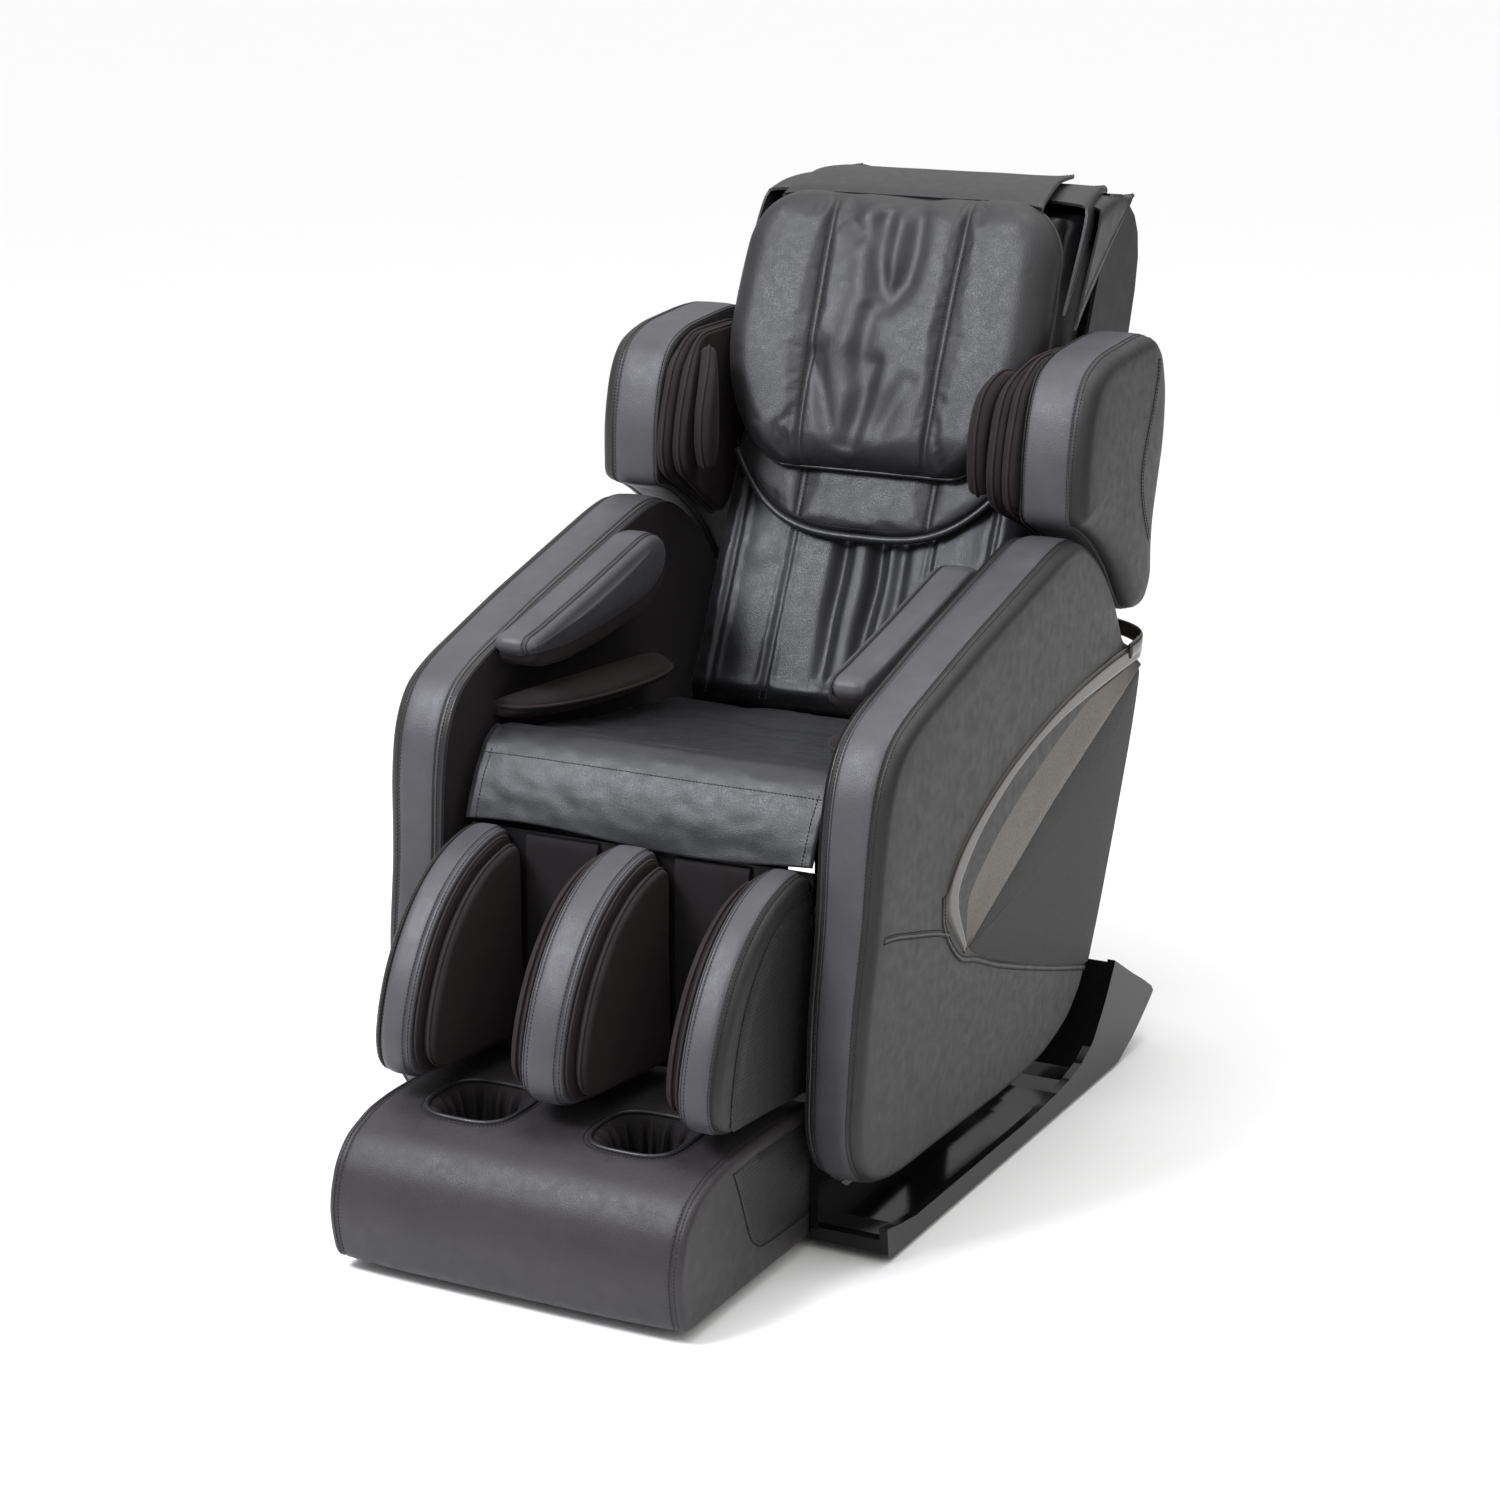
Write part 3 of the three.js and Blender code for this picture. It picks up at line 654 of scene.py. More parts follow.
def double_seam(name, path, spread, body, side):
    """A flat welt with a row of stitches on each side of it."""
    pts = np.array(path)
    along = np.gradient(pts, axis=0)
    across = np.cross(along, np.array([1, 0, 0]))
    across /= np.linalg.norm(across, axis=1)[:, None]
    welt = tube(name + "_welt", pts, spread * 0.42, WELT, flat=0.28, out=(side, 0, 0))
    attach(welt, body, "leather")
    rows = [pts + across * spread * k + np.array([side * 0.0002, 0, 0]) for k in (-0.8, 0.8)]
    attach(stitches(name + "_stitches", rows), body, "leather")


def make_arm(side, word):
    slab = Slab(
        ARM_OUTLINE, ARM_INNER_X, ARM_TOP_X, (-30, 430), rim=5, corner0=7, corner1=16, dome0=0, dome1=4,
        seams=(ARM_INNER_X + 12, ARM_TOP_X - 20), groove=1.3, count=320, cap_rings=22, taper=arm_taper,
        radius=30,
    )
    casing = slab.build(f"arm_cover_{word}", [SIDE, GREY], side)
    low, high = ARM_INNER_X + 11, ARM_TOP_X - 20
    for poly in casing.data.polygons:
        x = abs(poly.center[0]) / MM
        z = poly.center[2] / MM
        strip = arm_taper(low, z) < x < arm_taper(high, z)
        poly.material_index = 1 if strip and abs(poly.normal[0]) < 0.5 else 0
    attach(casing, "seat", "leather", f"arm_casing_{word}")
    rows = [slab.rim_path(x, side, 0.2) for x in (ARM_INNER_X + 9, ARM_TOP_X - 23.5, ARM_TOP_X - 16.5)]
    attach(stitches(f"arm_stitches_{word}", [np.vstack([r, r[:1]]) for r in rows]), "seat", "leather")
    welt = tube(f"arm_piping_{word}", slab.rim_path(ARM_INNER_X + 2, side, -2.2), 0.0022, WELT, closed=True)
    attach(welt, "seat", "leather")

    def on_side(path, lift=0.4, count=60):
        line = resample(spline(path), count)
        return [slab.on_end(y, z, lift, side) for y, z in line]

    double_seam(f"arm_seam_front_{word}", on_side(SEAM_FRONT), 0.0052, "seat", side)
    double_seam(f"arm_seam_low_{word}", on_side(SEAM_LOW, count=140), 0.0052, "seat", side)
    make_side_panel(side, word)
    make_trim(side, word)
    make_liner(side, word)


def make_side_panel(side, word):
    top = resample(spline(PANEL_TOP), 60)
    rear = resample(spline(PANEL_REAR), 40)
    bottom = resample(spline(PANEL_BOTTOM), 60)
    outline = np.vstack([top, rear[1:], bottom[1:-1]])
    panel = Slab(
        outline[::-1], ARM_TOP_X - 2, ARM_TOP_X + 6, (200, 420), rim=0, corner0=1, corner1=6, dome0=0,
        dome1=3, count=240, cap_rings=14, taper=arm_taper, radius=3, rim_steps=3,
    ).build(f"arm_side_mesh_{word}", RIBS, side)
    attach(panel, "seat", "perforated_leather", f"arm_mesh_panel_{word}")


def strip_between(name, line_a, line_b, height, material, side, profile, count=90, across=10):
    """A band between two side-view lines. profile gives its height, in millimetres, from line to line."""
    a = resample(spline(line_a), count)
    b = resample(spline(line_b), count)
    verts = []
    for t in np.linspace(0, 1, across):
        for p, q in zip(a, b):
            y, z = p + (q - p) * t
            x = arm_taper(ARM_TOP_X + height + profile(t), z)
            verts.append(drawn(side * x, y, z))
    for t in np.linspace(1, 0, across):
        for p, q in zip(a, b):
            y, z = p + (q - p) * t
            verts.append(drawn(side * arm_taper(ARM_TOP_X - 3, z), y, z))
    faces = []
    rows = 2 * across
    for r in range(rows):
        for i in range(count - 1):
            j, k = r * count + i, ((r + 1) % rows) * count + i
            faces.append((j, j + 1, k + 1, k))
    faces.append(tuple(r * count for r in range(rows)))
    faces.append(tuple(r * count + count - 1 for r in range(rows))[::-1])
    return face_out(mesh_object(name, verts, faces, material))


def make_trim(side, word):
    rim = strip_between(
        f"arm_rim_{word}", RIM_OUTER, RIM_INNER, 2, BRONZE_RIM, side,
        lambda t: 5.5 * min(1, 7 * t, 7 * (1 - t)) ** 0.5,
    )
    attach(rim, "seat", "bronze_trim", f"arm_trim_{word}")
    blade = strip_between(
        f"arm_blade_{word}", RIM_INNER, PANEL_TOP[::-1], 1, BRONZE_BLADE, side,
        lambda t: 1.0 + 5.5 * t,
    )
    attach(blade, "seat", "bronze_trim")
    corner = [
        (379, 388, 647), (378, 428, 650), (371, 445, 655), (352, 451, 662), (322, 451, 668), (292, 448, 674),
    ]
    path = resample(spline(corner), 60)
    points = [drawn(side * p[0], p[1], p[2]) for p in path]

    def outward(i):
        turn = min(max((i - 14) / 16, 0), 1) * math.pi / 2
        return side * math.cos(turn), math.sin(turn), 0

    tray = tube(f"arm_tray_edge_{word}", points, 0.012, BRONZE_RIM, sides=14, flat=0.34, out=outward)
    attach(tray, "seat", "bronze_trim")


def make_liner(side, word):
    liner = Slab(
        ARM_OUTLINE, 279.2, 282.9, (-30, 430), rim=-7, corner0=1, corner1=0.6, dome0=1.5, dome1=0, count=200,
        cap_rings=18, radius=30, rim_steps=3,
    ).build(f"arm_lining_{word}", LINING, side)
    attach(liner, "seat", "airbag_fabric", f"arm_liner_{word}")


PAD_OUTLINE = [
    (-304, 734), (-288, 717), (-213, 711), (-97, 718), (25, 735), (72, 760), (87, 792), (74, 820), (40, 827),
    (-130, 782), (-262, 750), (-295, 745),
]
CUFF_OUTLINE = [
    (-292, 652), (-272, 635), (-150, 618), (0, 602), (100, 599), (126, 613), (116, 640), (60, 647),
    (-100, 654), (-240, 659),
]


def make_forearm(side, word):
    pad = Slab(
        PAD_OUTLINE, 216, 278.6, (-100, 765), rim=3, corner0=16, corner1=5, dome0=4, dome1=0,
        seams=(232,), groove=1.6, count=150, cap_rings=10, radius=18,
    )
    cover = pad.build(f"forearm_pad_cover_{word}", GREY, side)
    attach(cover, "seat", "leather_grey", f"forearm_pad_{word}")
    rows = [pad.rim_path(x, side, 0.2) for x in (229, 235)]
    attach(stitches(f"forearm_pad_stitches_{word}", [np.vstack([r, r[:1]]) for r in rows]), "seat", "leather")
    bag = Slab(
        [(y * 0.97, z - 15) for y, z in PAD_OUTLINE], 219, 278.4, (-100, 750), rim=1, corner0=8, corner1=3,
        dome0=2, dome1=0, count=120, cap_rings=6, radius=18,
    ).build(f"forearm_airbag_{word}", BAG, side)
    attach(bag, "seat", "airbag_fabric")
    make_cuff(side, word)


def make_cuff(side, word):
    """A half-moon airbag, bulging inwards from the arm, with a bound edge."""
    count, depth = 90, 90
    line = np.linspace(0, math.pi, count)
    y_of = np.array([-92 - 214 * math.cos(a) for a in line])
    reach = np.array([max(math.sin(a), 0) ** 0.6 for a in line])
    verts, faces = [], []
    rows = 14
    loop = []
    for k in range(rows):
        a = 2 * math.pi * k / rows
        loop.append((0.5 + 0.5 * math.cos(a), math.sin(a)))
    for y, r in zip(y_of, reach):
        z_mid = 631 - 0.07 * (y + 82)
        for s, h in loop:
            x = 278.4 - depth * r * s
            thick = 24 * (0.45 + 0.55 * r) * (1 - 0.2 * s)
            verts.append(drawn(side * x, y, z_mid + thick * h + 3 * s * r))
    for i in range(count - 1):
        for k in range(rows):
            a, b = i * rows + k, i * rows + (k + 1) % rows
            faces.append((a, b, b + rows, a + rows))
    faces.append(tuple(range(rows)))
    faces.append(tuple(range((count - 1) * rows, count * rows))[::-1])
    cuff = face_out(mesh_object(f"forearm_cuff_cover_{word}", verts, faces, BAG))
    attach(cuff, "seat", "airbag_fabric", f"forearm_cuff_{word}")
    edge = []
    for y, r in zip(y_of, reach):
        edge.append(drawn(side * (278.4 - (depth + 1) * r), y, 634 - 0.07 * (y + 82)))
    attach(tube(f"forearm_cuff_edge_{word}", edge, 0.0026, BAG_EDGE), "seat", "airbag_fabric")


# ---------------------------------------------------------------- leg rest
CALF_OUTLINE = [
    (-401, 212), (-401, 515), (-445, 514), (-505, 498), (-560, 465), (-602, 422), (-634, 372), (-652, 325),
    (-660, 285), (-655, 254), (-640, 240), (-622, 234),
]
CALF_CENTRE = (-500, 350)


def make_calf_pad(name, x0, x1, side, outer):
    """A calf pad. outer is whether the far side is the outside of the leg rest."""
    seams = (x0 + 7, x1 - (13 if outer else 7))
    pad = Slab(
        CALF_OUTLINE, x0, x1, CALF_CENTRE, rim=4, corner0=4, corner1=14 if outer else 4, dome0=0,
        dome1=1 if outer else 0, seams=seams, groove=1.8, count=220, cap_rings=14, radius=26,
    )
    cover = pad.build(f"{name}_cover", [GREY, SIDE], side)
    edge = (seams[1] if outer else 1e9) * MM
    for poly in cover.data.polygons:
        poly.material_index = 1 if abs(poly.center[0]) > edge else 0
    rows = [pad.rim_path(s + d, side, 0.2) for s in seams for d in (-3.2, 3.2)]
    front = [r[r[:, 1] < drawn(0, -404, 0)[1]] for r in rows]
    attach(stitches(f"{name}_stitches", [from_gap(f) for f in front]), "legrest", "leather")
    return pad, attach(cover, "legrest", "leather_grey", name)


PERFORATED_EDGE = [
    (-404, 492), (-455, 486), (-508, 468), (-555, 432), (-590, 388), (-612, 340), (-626, 285), (-630, 246),
]


def make_perforated_patch(name, slab, edge, rest, body, side, count=60):
    """A perforated patch on the outside of a slab, with a stitched boundary."""
    line = resample(spline(edge), count)
    outline = anticlockwise(np.vstack([line, np.array(rest, float)]))
    bm = bmesh.new()
    corners = [bm.verts.new((p[0], p[1], 0)) for p in outline]
    face = bm.faces.new(corners)
    bmesh.ops.triangulate(bm, faces=[face])
    for _ in range(3):
        bmesh.ops.subdivide_edges(bm, edges=[e for e in bm.edges if e.calc_length() > 16], cuts=1)
        bmesh.ops.triangulate(bm, faces=bm.faces)
    bmesh.ops.solidify(bm, geom=bm.faces[:], thickness=0.6)
    verts = [slab.on_end(v.co.x, v.co.y, 0.5 + v.co.z, side) for v in bm.verts]
    bm.verts.index_update()
    faces = [tuple(v.index for v in f.verts) for f in bm.faces]
    bm.free()
    patch = face_out(mesh_object(name, verts, faces, HOLES))
    attach(patch, body, "perforated_leather")
    border = [slab.on_end(p[0], p[1], 1.1, side) for p in line]
    attach(stitches(name + "_stitches", [border]), body, "leather")


def make_airbag_leaf(name, outline, x0, x1, centre, body, side, count=150, lean=None):
    """One inflated leaf with a bound edge."""
    middle = (x0 + x1) / 2
    half = (x1 - x0) / 2
    leaf = Slab(
        outline, x0, x1, centre, rim=0, corner0=half * 0.8, corner1=half * 0.8, dome0=half * 0.25,
        dome1=half * 0.25, count=count, cap_rings=9, lean=lean, radius=22, rim_steps=5,
    )
    piece = leaf.build(name, BAG, side)
    for v in piece.data.vertices:
        v.co.x += 0.0012 * wrinkle(v.co, 0.05, (1, 1, 0.5), 3.1)
    edge = leaf.rim_path(middle, side, 1.0)
    binding = tube(name + "_binding", edge, 0.0021, BAG_EDGE, closed=True, sides=7)
    attach(binding, body, "airbag_fabric")
    return attach(piece, body, "airbag_fabric")


def shrunk(outline, amount):
    pts = smooth_outline(outline, 60, 20)
    return [tuple(p) for p in pts - normals2d(pts) * amount]


def make_leg_rest():
    for side, word in SIDES:
        pad, cover = make_calf_pad(f"calf_pad_{word}", 197, 256, side, True)
        rest = [(-622, 238), (-404, 222)]
        make_perforated_patch(f"calf_perforated_{word}", pad, PERFORATED_EDGE, rest, "legrest", side)
        for place_name, spans in (
            ("inner", ((30.6, 38, 6), (38, 57, 15))),
            ("outer", ((188.5, 196.4, 6), (169, 188, 15))),
        ):
            for k, (x0, x1, amount) in enumerate(spans):
                leaf = make_airbag_leaf(
                    f"calf_leaf_{place_name}_{word}_{k}", shrunk(CALF_OUTLINE, amount), x0, x1, CALF_CENTRE,
                    "legrest", side,
                )
                if k == 1:
                    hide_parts(f"calf_airbag_{place_name}_{word}")
    _, middle = make_calf_pad("calf_pad_middle", -30, 30, 1, False)
    make_channel_backs()
    make_foot_box()


def make_channel_backs():
    """The cloth behind the calves, stretched over the frame between the pads."""
    for side, word in SIDES:
        back = Slab(
            [(-409, 220), (-401, 220), (-401, 510), (-404, 514), (-409, 506)], 58, 168, (-405, 365), rim=0,
            corner0=1.5, corner1=1.5, dome0=0, dome1=0, count=80, cap_rings=4, radius=3, rim_steps=16,
        ).build(f"calf_channel_cloth_{word}", LINING, side)
        for v in back.data.vertices:
            v.co.y += 0.0015 * wrinkle(v.co, 0.06, (0.6, 1, 1), 1.3)
        attach(back, "legrest", "airbag_fabric")


FOOT_OUTLINE = [
    (-380, 15), (-380, 196), (-467, 200), (-560, 202), (-621, 202), (-671, 197), (-724, 178), (-752, 148),
    (-765, 110), (-768, 84), (-763, 48), (-753, 15),
]
FOOT_HALF = 259
HOLE_X, HOLE_Y = 122, -604
HOLE_RADII = (65, 62)


def hole_outline(side, grow=0.0, count=64):
    """A rounded rectangle round a foot hole."""
    out = []
    for a in np.linspace(0, 2 * math.pi, count, endpoint=False):
        c, s = math.cos(a), math.sin(a)
        r = (abs(c) ** 3.2 + abs(s) ** 3.2) ** (-1 / 3.2)
        out.append((side * HOLE_X + (HOLE_RADII[0] + grow) * r * c, HOLE_Y + (HOLE_RADII[1] + grow) * r * s))
    return out


def foot_top(y):
    """Height of the foot box's top over a place along it."""
    line = np.array(sorted(p for p in FOOT_OUTLINE if p[1] > 90))
    return float(np.interp(y, line[:, 0], line[:, 1])) + 4


def make_foot_box():
    box = Slab(
        FOOT_OUTLINE, -FOOT_HALF, FOOT_HALF, (-575, 105), rim=4, corner0=9, corner1=9, dome0=1, dome1=1,
        seams=(-FOOT_HALF + 13, FOOT_HALF - 13), groove=1.8, count=200, cap_rings=10, radius=16, rim_steps=40,
    )
    body = box.build("foot_box_cover", FOOT)
    cutters = []
    for side, word in SIDES:
        rings = [[drawn(x, y, z) for x, y in hole_outline(side)] for z in (70, 260)]
        verts, faces = ring_mesh(rings)
        cutters.append(face_out(mesh_object(f"cutter_{word}", verts, faces, FOOT)))
    for cutter in cutters:
        cut = body.modifiers.new("hole", "BOOLEAN")
        cut.object = cutter
        cut.solver = "EXACT"
    apply_modifiers(body)
    for cutter in cutters:
        bpy.data.objects.remove(cutter)
    body.data.polygons.foreach_set("use_smooth", [True] * len(body.data.polygons))
    body.data.set_sharp_from_angle(angle=math.radians(50))
    attach(body, "foot", "leather", "foot_box")
    for side, word in SIDES:
        make_foot_hole(side, word)
        rows = [box.rim_path(side * (FOOT_HALF - d), 1, 0.2) for d in (9.5, 16.5)]
        rows = [from_gap(r[r[:, 2] > 0.022]) for r in rows]
        attach(stitches(f"foot_box_stitches_{word}", rows), "foot", "leather")
        edge = [(-628, 184), (-611, 146), (-586, 86), (-566, 64), (-540, 56), (-450, 52), (-386, 49)]
        rest = [(-386, 182), (-467, 185), (-560, 187)]
        make_perforated_patch(f"foot_perforated_{word}", box, edge, rest, "foot", side)


def make_foot_hole(side, word):
    """The bound rim and the gathered cloth lining of a foot hole."""
    rim = [drawn(x, y, foot_top(y) + 0.5) for x, y in hole_outline(side, 1)]
    attach(tube(f"foot_hole_rim_{word}", rim, 0.0034, WELT, closed=True), "foot", "leather")
    row = [drawn(x, y, foot_top(y) + 1.0) for x, y in hole_outline(side, 8)]
    attach(stitches(f"foot_hole_stitches_{word}", [row + row[:1]]), "foot", "leather")
    count = 128
    rings = []
    for k, (grow, drop) in enumerate([(-1, 2), (-5, 8), (-7, 22), (-9, 45), (-10, 75), (-11, 100)]):
        ring = []
        for i, (x, y) in enumerate(hole_outline(side, grow, count)):
            a = 2 * math.pi * i / count
            fold = min(k, 3) * 1.9 * (math.sin(17 * a + side) + 0.6 * math.sin(29 * a + 2 * side))
            toward = Vector((side * HOLE_X - x, HOLE_Y - y)).normalized() * (fold + 4 * min(k, 2))
            ring.append(drawn(x + toward.x, y + toward.y, foot_top(y) - drop + 0.8 * fold))
        rings.append(ring)
    inner = [[Vector(p) - (Vector(p) - Vector(drawn(side * HOLE_X, HOLE_Y, p[2] / MM))) * 0.04 for p in ring]
             for ring in rings]
    loop = rings + [[tuple(p) for p in ring] for ring in inner[::-1]]
    verts, faces = closed_ring_mesh(loop)
    attach(face_out(mesh_object(f"foot_hole_lining_{word}", verts, faces, LINING)), "foot", "airbag_fabric")


# ---------------------------------------------------------------- grids that swell and fold
def grid_faces(nx, ny):
    """Faces of a closed pad: nx by ny cells in front, the same behind, and a border that joins the two."""
    row = nx + 1
    base = row * (ny + 1)
    faces = []
    for j in range(ny):
        for i in range(nx):
            a = j * row + i
            faces.append((a, a + 1, a + row + 1, a + row))
            faces.append((base + a, base + a + row, base + a + row + 1, base + a + 1))
    border = (
        list(range(nx)) + [nx + j * row for j in range(ny)]
        + [ny * row + nx - i for i in range(nx)] + [(ny - j) * row for j in range(ny)]
    )
    for k, a in enumerate(border):
        b = border[(k + 1) % len(border)]
        faces.append((a, base + a, base + b, b))
    return faces


def puff_grid(name, width, length, face, thick, material, nx=90, ny=110, edge=0.02, back=None):
    """A pad as a closed grid, for s and t from 0 to 1.

    face(s, t) gives a point of the middle plane and its outward direction, thick(s, t) the height of the front
    over it and back(s, t) the depth of the rear, which is otherwise flat.
    """
    front, rear = [], []
    for j in range(ny + 1):
        for i in range(nx + 1):
            s, t = i / nx, j / ny
            p, n = face(s, t)
            p, n = Vector(p), Vector(n)
            rim = min(s, 1 - s) * width
            end = min(t, 1 - t) * length
            a, b = min(rim / edge, 1), min(end / edge, 1)
            swell = math.sqrt(max(1 - (1 - a) ** 2, 0)) * math.sqrt(max(1 - (1 - b) ** 2, 0))
            front.append(tuple(p + n * thick(s, t) * swell))
            rear.append(tuple(p - n * (back(s, t) if back else 0.002) * swell))
    obj = mesh_object(name, front + rear, grid_faces(nx, ny), material)
    bm = bmesh.new()
    bm.from_mesh(obj.data)
    bmesh.ops.remove_doubles(bm, verts=bm.verts, dist=0.00005)
    bmesh.ops.recalc_face_normals(bm, faces=bm.faces)
    bm.to_mesh(obj.data)
    bm.free()
    return obj


def bell(value, width):
    return math.exp(-((value / width) ** 2))


def swell_cloth(obj, pinned, pressure=4.0, grow=0.03, frames=18, cap=0.012, stiffness=12):
    """Blows a pad up as cloth, held where pinned(co) is over 0 and moved no further than cap."""
    start = np.array([v.co[:] for v in obj.data.vertices])
    group = obj.vertex_groups.new(name="pinned")
    for v in obj.data.vertices:
        weight = pinned(v.co)
        if weight > 0:
            group.add([v.index], min(weight, 1.0), "REPLACE")
    cloth_mod = obj.modifiers.new("cloth", "CLOTH")
    settings = cloth_mod.settings
    settings.quality = 5
    settings.mass = 0.3
    settings.tension_stiffness = stiffness
    settings.compression_stiffness = stiffness
    settings.shear_stiffness = 5
    settings.bending_stiffness = 0.6
    settings.use_pressure = True
    settings.uniform_pressure_force = pressure
    settings.shrink_min = -grow
    settings.vertex_group_mass = "pinned"
    settings.effector_weights.gravity = 0
    cloth_mod.collision_settings.use_collision = False
    cloth_mod.point_cache.frame_start = 1
    cloth_mod.point_cache.frame_end = frames
    scene = bpy.context.scene
    for f in range(1, frames + 1):
        scene.frame_set(f)
    apply_modifiers(obj)
    scene.frame_set(1)
    for v, p in zip(obj.data.vertices, start):
        move = v.co - Vector(p)
        if move.length > cap:
            v.co = Vector(p) + move.normalized() * cap
    smooth_mesh(obj, 2, 0.4)
    obj.data.polygons.foreach_set("use_smooth", [True] * len(obj.data.polygons))
    return obj


def smooth_mesh(obj, times, factor=0.5):
    bm = bmesh.new()
    bm.from_mesh(obj.data)
    for _ in range(times):
        bmesh.ops.smooth_vert(
            bm, verts=bm.verts, factor=factor, use_axis_x=True, use_axis_y=True, use_axis_z=True
        )
    bm.to_mesh(obj.data)
    bm.free()


# ---------------------------------------------------------------- seat
SEAT_HALF = 261
SEAT_LINE = [(-333, 621), (-290, 620), (-200, 606), (-100, 590), (0, 578), (100, 567), (172, 560)]


def make_seat():
    line = resample(spline(SEAT_LINE), 100)

    def face(s, t):
        k = t * (len(line) - 1)
        y = np.interp(k, range(len(line)), line[:, 0])
        z = np.interp(k, range(len(line)), line[:, 1])
        return drawn((2 * s - 1) * SEAT_HALF, y, z - 60), (0, 0, 1)

    def thick(s, t):
        x = (2 * s - 1) * SEAT_HALF
        lift = 0.058 + 0.005 * math.sin(math.pi * t) * (1 - (x / SEAT_HALF) ** 2)
        diagonal = t - 0.60 - 0.10 * abs(x) / SEAT_HALF
        lift -= 0.0035 * bell(diagonal, 0.008)
        lift += 0.0022 * wrinkle((s, t, 0), 0.16, (0.8, 2.0, 1), 5.0)
        lift += 0.0015 * wrinkle((s, t, 0), 0.07, (0.6, 2.2, 1), 8.0)
        lift -= 0.004 * bell(abs(x) - 150, 60) * bell(t - 0.9, 0.12)
        return lift

    cushion = puff_grid(
        "seat_cushion_cover", 0.52, 0.5, face, thick, SEAT, 110, 110, edge=0.022, back=lambda s, t: 0.04
    )
    swell_cloth(cushion, lambda co: 1.0 if co.z < 0.55 else 0.2, 2.5, 0.006, cap=0.004)
    attach(cushion, "seat", "leather", "seat_cushion")
    make_seat_flap()


def make_seat_flap():
    """The padded leather apron over the gap to the leg rest, which hangs from the seat's front edge."""
    profile = [(-300, 624), (-330, 624), (-352, 612), (-374, 585), (-392, 555), (-404, 528), (-408, 518)]
    line = resample(spline(profile), 60)
    count = 70
    half = 262
    top, under = [], []
    tangent = np.gradient(line, axis=0)
    for k, (p, d) in enumerate(zip(line, tangent)):
        d = d / np.linalg.norm(d)
        out = np.array([d[1], -d[0]])
        if out[0] > 0:
            out = -out
        fall = k / (len(line) - 1)
        for i in range(count + 1):
            s = 2 * i / count - 1
            x = s * (half - 3 * fall)
            hem = 2.2 * bell(1 - abs(s), 0.03)
            swell = 4.0 * math.sin(math.pi * fall) * (1 - s**6)
            wave = 1.5 * wrinkle((s * 0.5, fall, 0), 0.4, (2.2, 0.7, 1), 2.0) * fall
            wave += 1.2 * wrinkle((s * 0.5, fall, 0), 0.12, (2.2, 0.9, 1), 4.0)
            shift = swell + wave + hem
            drop = 6 * fall**3 * math.sin(3.4 * s + 0.6)
            y, z = p + out * (3 + shift)
            top.append(drawn(x, y, z - drop))
            y, z = p + out * (shift - 3)
            under.append(drawn(x, y, z - drop))
    row = count + 1
    last = len(line) - 1
    flap = face_out(mesh_object("seat_flap_cover", top + under, grid_faces(count, last), SEAT))
    seam, hem_start = 26, 24
    seam_rows = [[Vector(top[seam * row + i]) + Vector((0, -0.0004, 0.0004)) for i in range(count + 1)]]
    for i in (2, count - 2):
        hem_row = [Vector(top[j * row + i]) for j in range(hem_start, last)]
        seam_rows.append([p + Vector((0, -0.0005, 0.0003)) for p in hem_row])
    thread = stitches("seat_flap_stitches", seam_rows)
    for piece in (flap, thread):
        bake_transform(piece)
    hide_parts("seat_front_flap")


# ---------------------------------------------------------------- backrest
def back_grid(x_half, u0, u1, w):
    """A plane of the upright backrest for puff_grid, facing the sitter."""
    out = Vector(leaned(0, -1, 0)) - Vector(leaned(0, 0, 0))
    out.normalize()

    def face(s, t):
        return leaned((2 * s - 1) * x_half, w, u0 + (u1 - u0) * t), out

    return face


def make_back_cushion():
    half, low, high = 252, 104, 892

    def thick(s, t):
        x = (2 * s - 1) * half
        u = low + (high - low) * t
        lift = 56 + 5 * (1 - (x / half) ** 4)
        for seam in (-112, 112):
            lift -= 7 * bell(x - seam, 5)
        for seam in (-203, 203):
            lift -= 6 * bell(x - seam, 5)
        lift += 5 * bell(abs(x) - 157, 40)
        for fold, depth in ((-30, 15), (26, 18), (66, 8)):
            sway = 6 * wrinkle((0, 0, u * 0.001), 0.12, seed=fold)
            lift -= depth * bell(x - fold - sway, 12) * bell(u - 330, 200)
        side = bell(abs(x) - 157, 34)
        slanted = ((x * 0.001, 0, (u + 0.35 * abs(x)) * 0.001))
        lift += 3.4 * side * wrinkle(slanted, 0.06, (0.3, 1, 1), 6.0)
        lift += 1.2 * side * wrinkle(slanted, 0.028, (0.3, 1, 1), 9.0)
        return lift * MM

    cushion = puff_grid(
        "back_cushion_cover", 2 * half * MM, 0.79, back_grid(half, low, high, -2), thick, SEAT, 150, 150,
        edge=0.03,
    )
    swell_cloth(cushion, lambda co: back_pin(co, (-112, 112, -203, 203), 5), 2.5, 0.006, cap=0.004)
    attach(cushion, "backrest", "leather", "back_cushion")
    rows = []
    for x in (-117, -107, 107, 117, -208, 208):
        rows.append([leaned(x, -(58.5 if abs(x) < 200 else 57), u) for u in np.linspace(112, 470, 60)])
    attach(stitches("back_cushion_stitches", rows), "backrest", "leather")


def back_pin(co, seams, width):
    """How strongly a seam holds the cloth of a back piece: 1 on a seam, falling to 0."""
    x = co.x / MM
    hold = max(bell(x - seam, width) for seam in seams)
    return hold if hold > 0.15 else 0.0


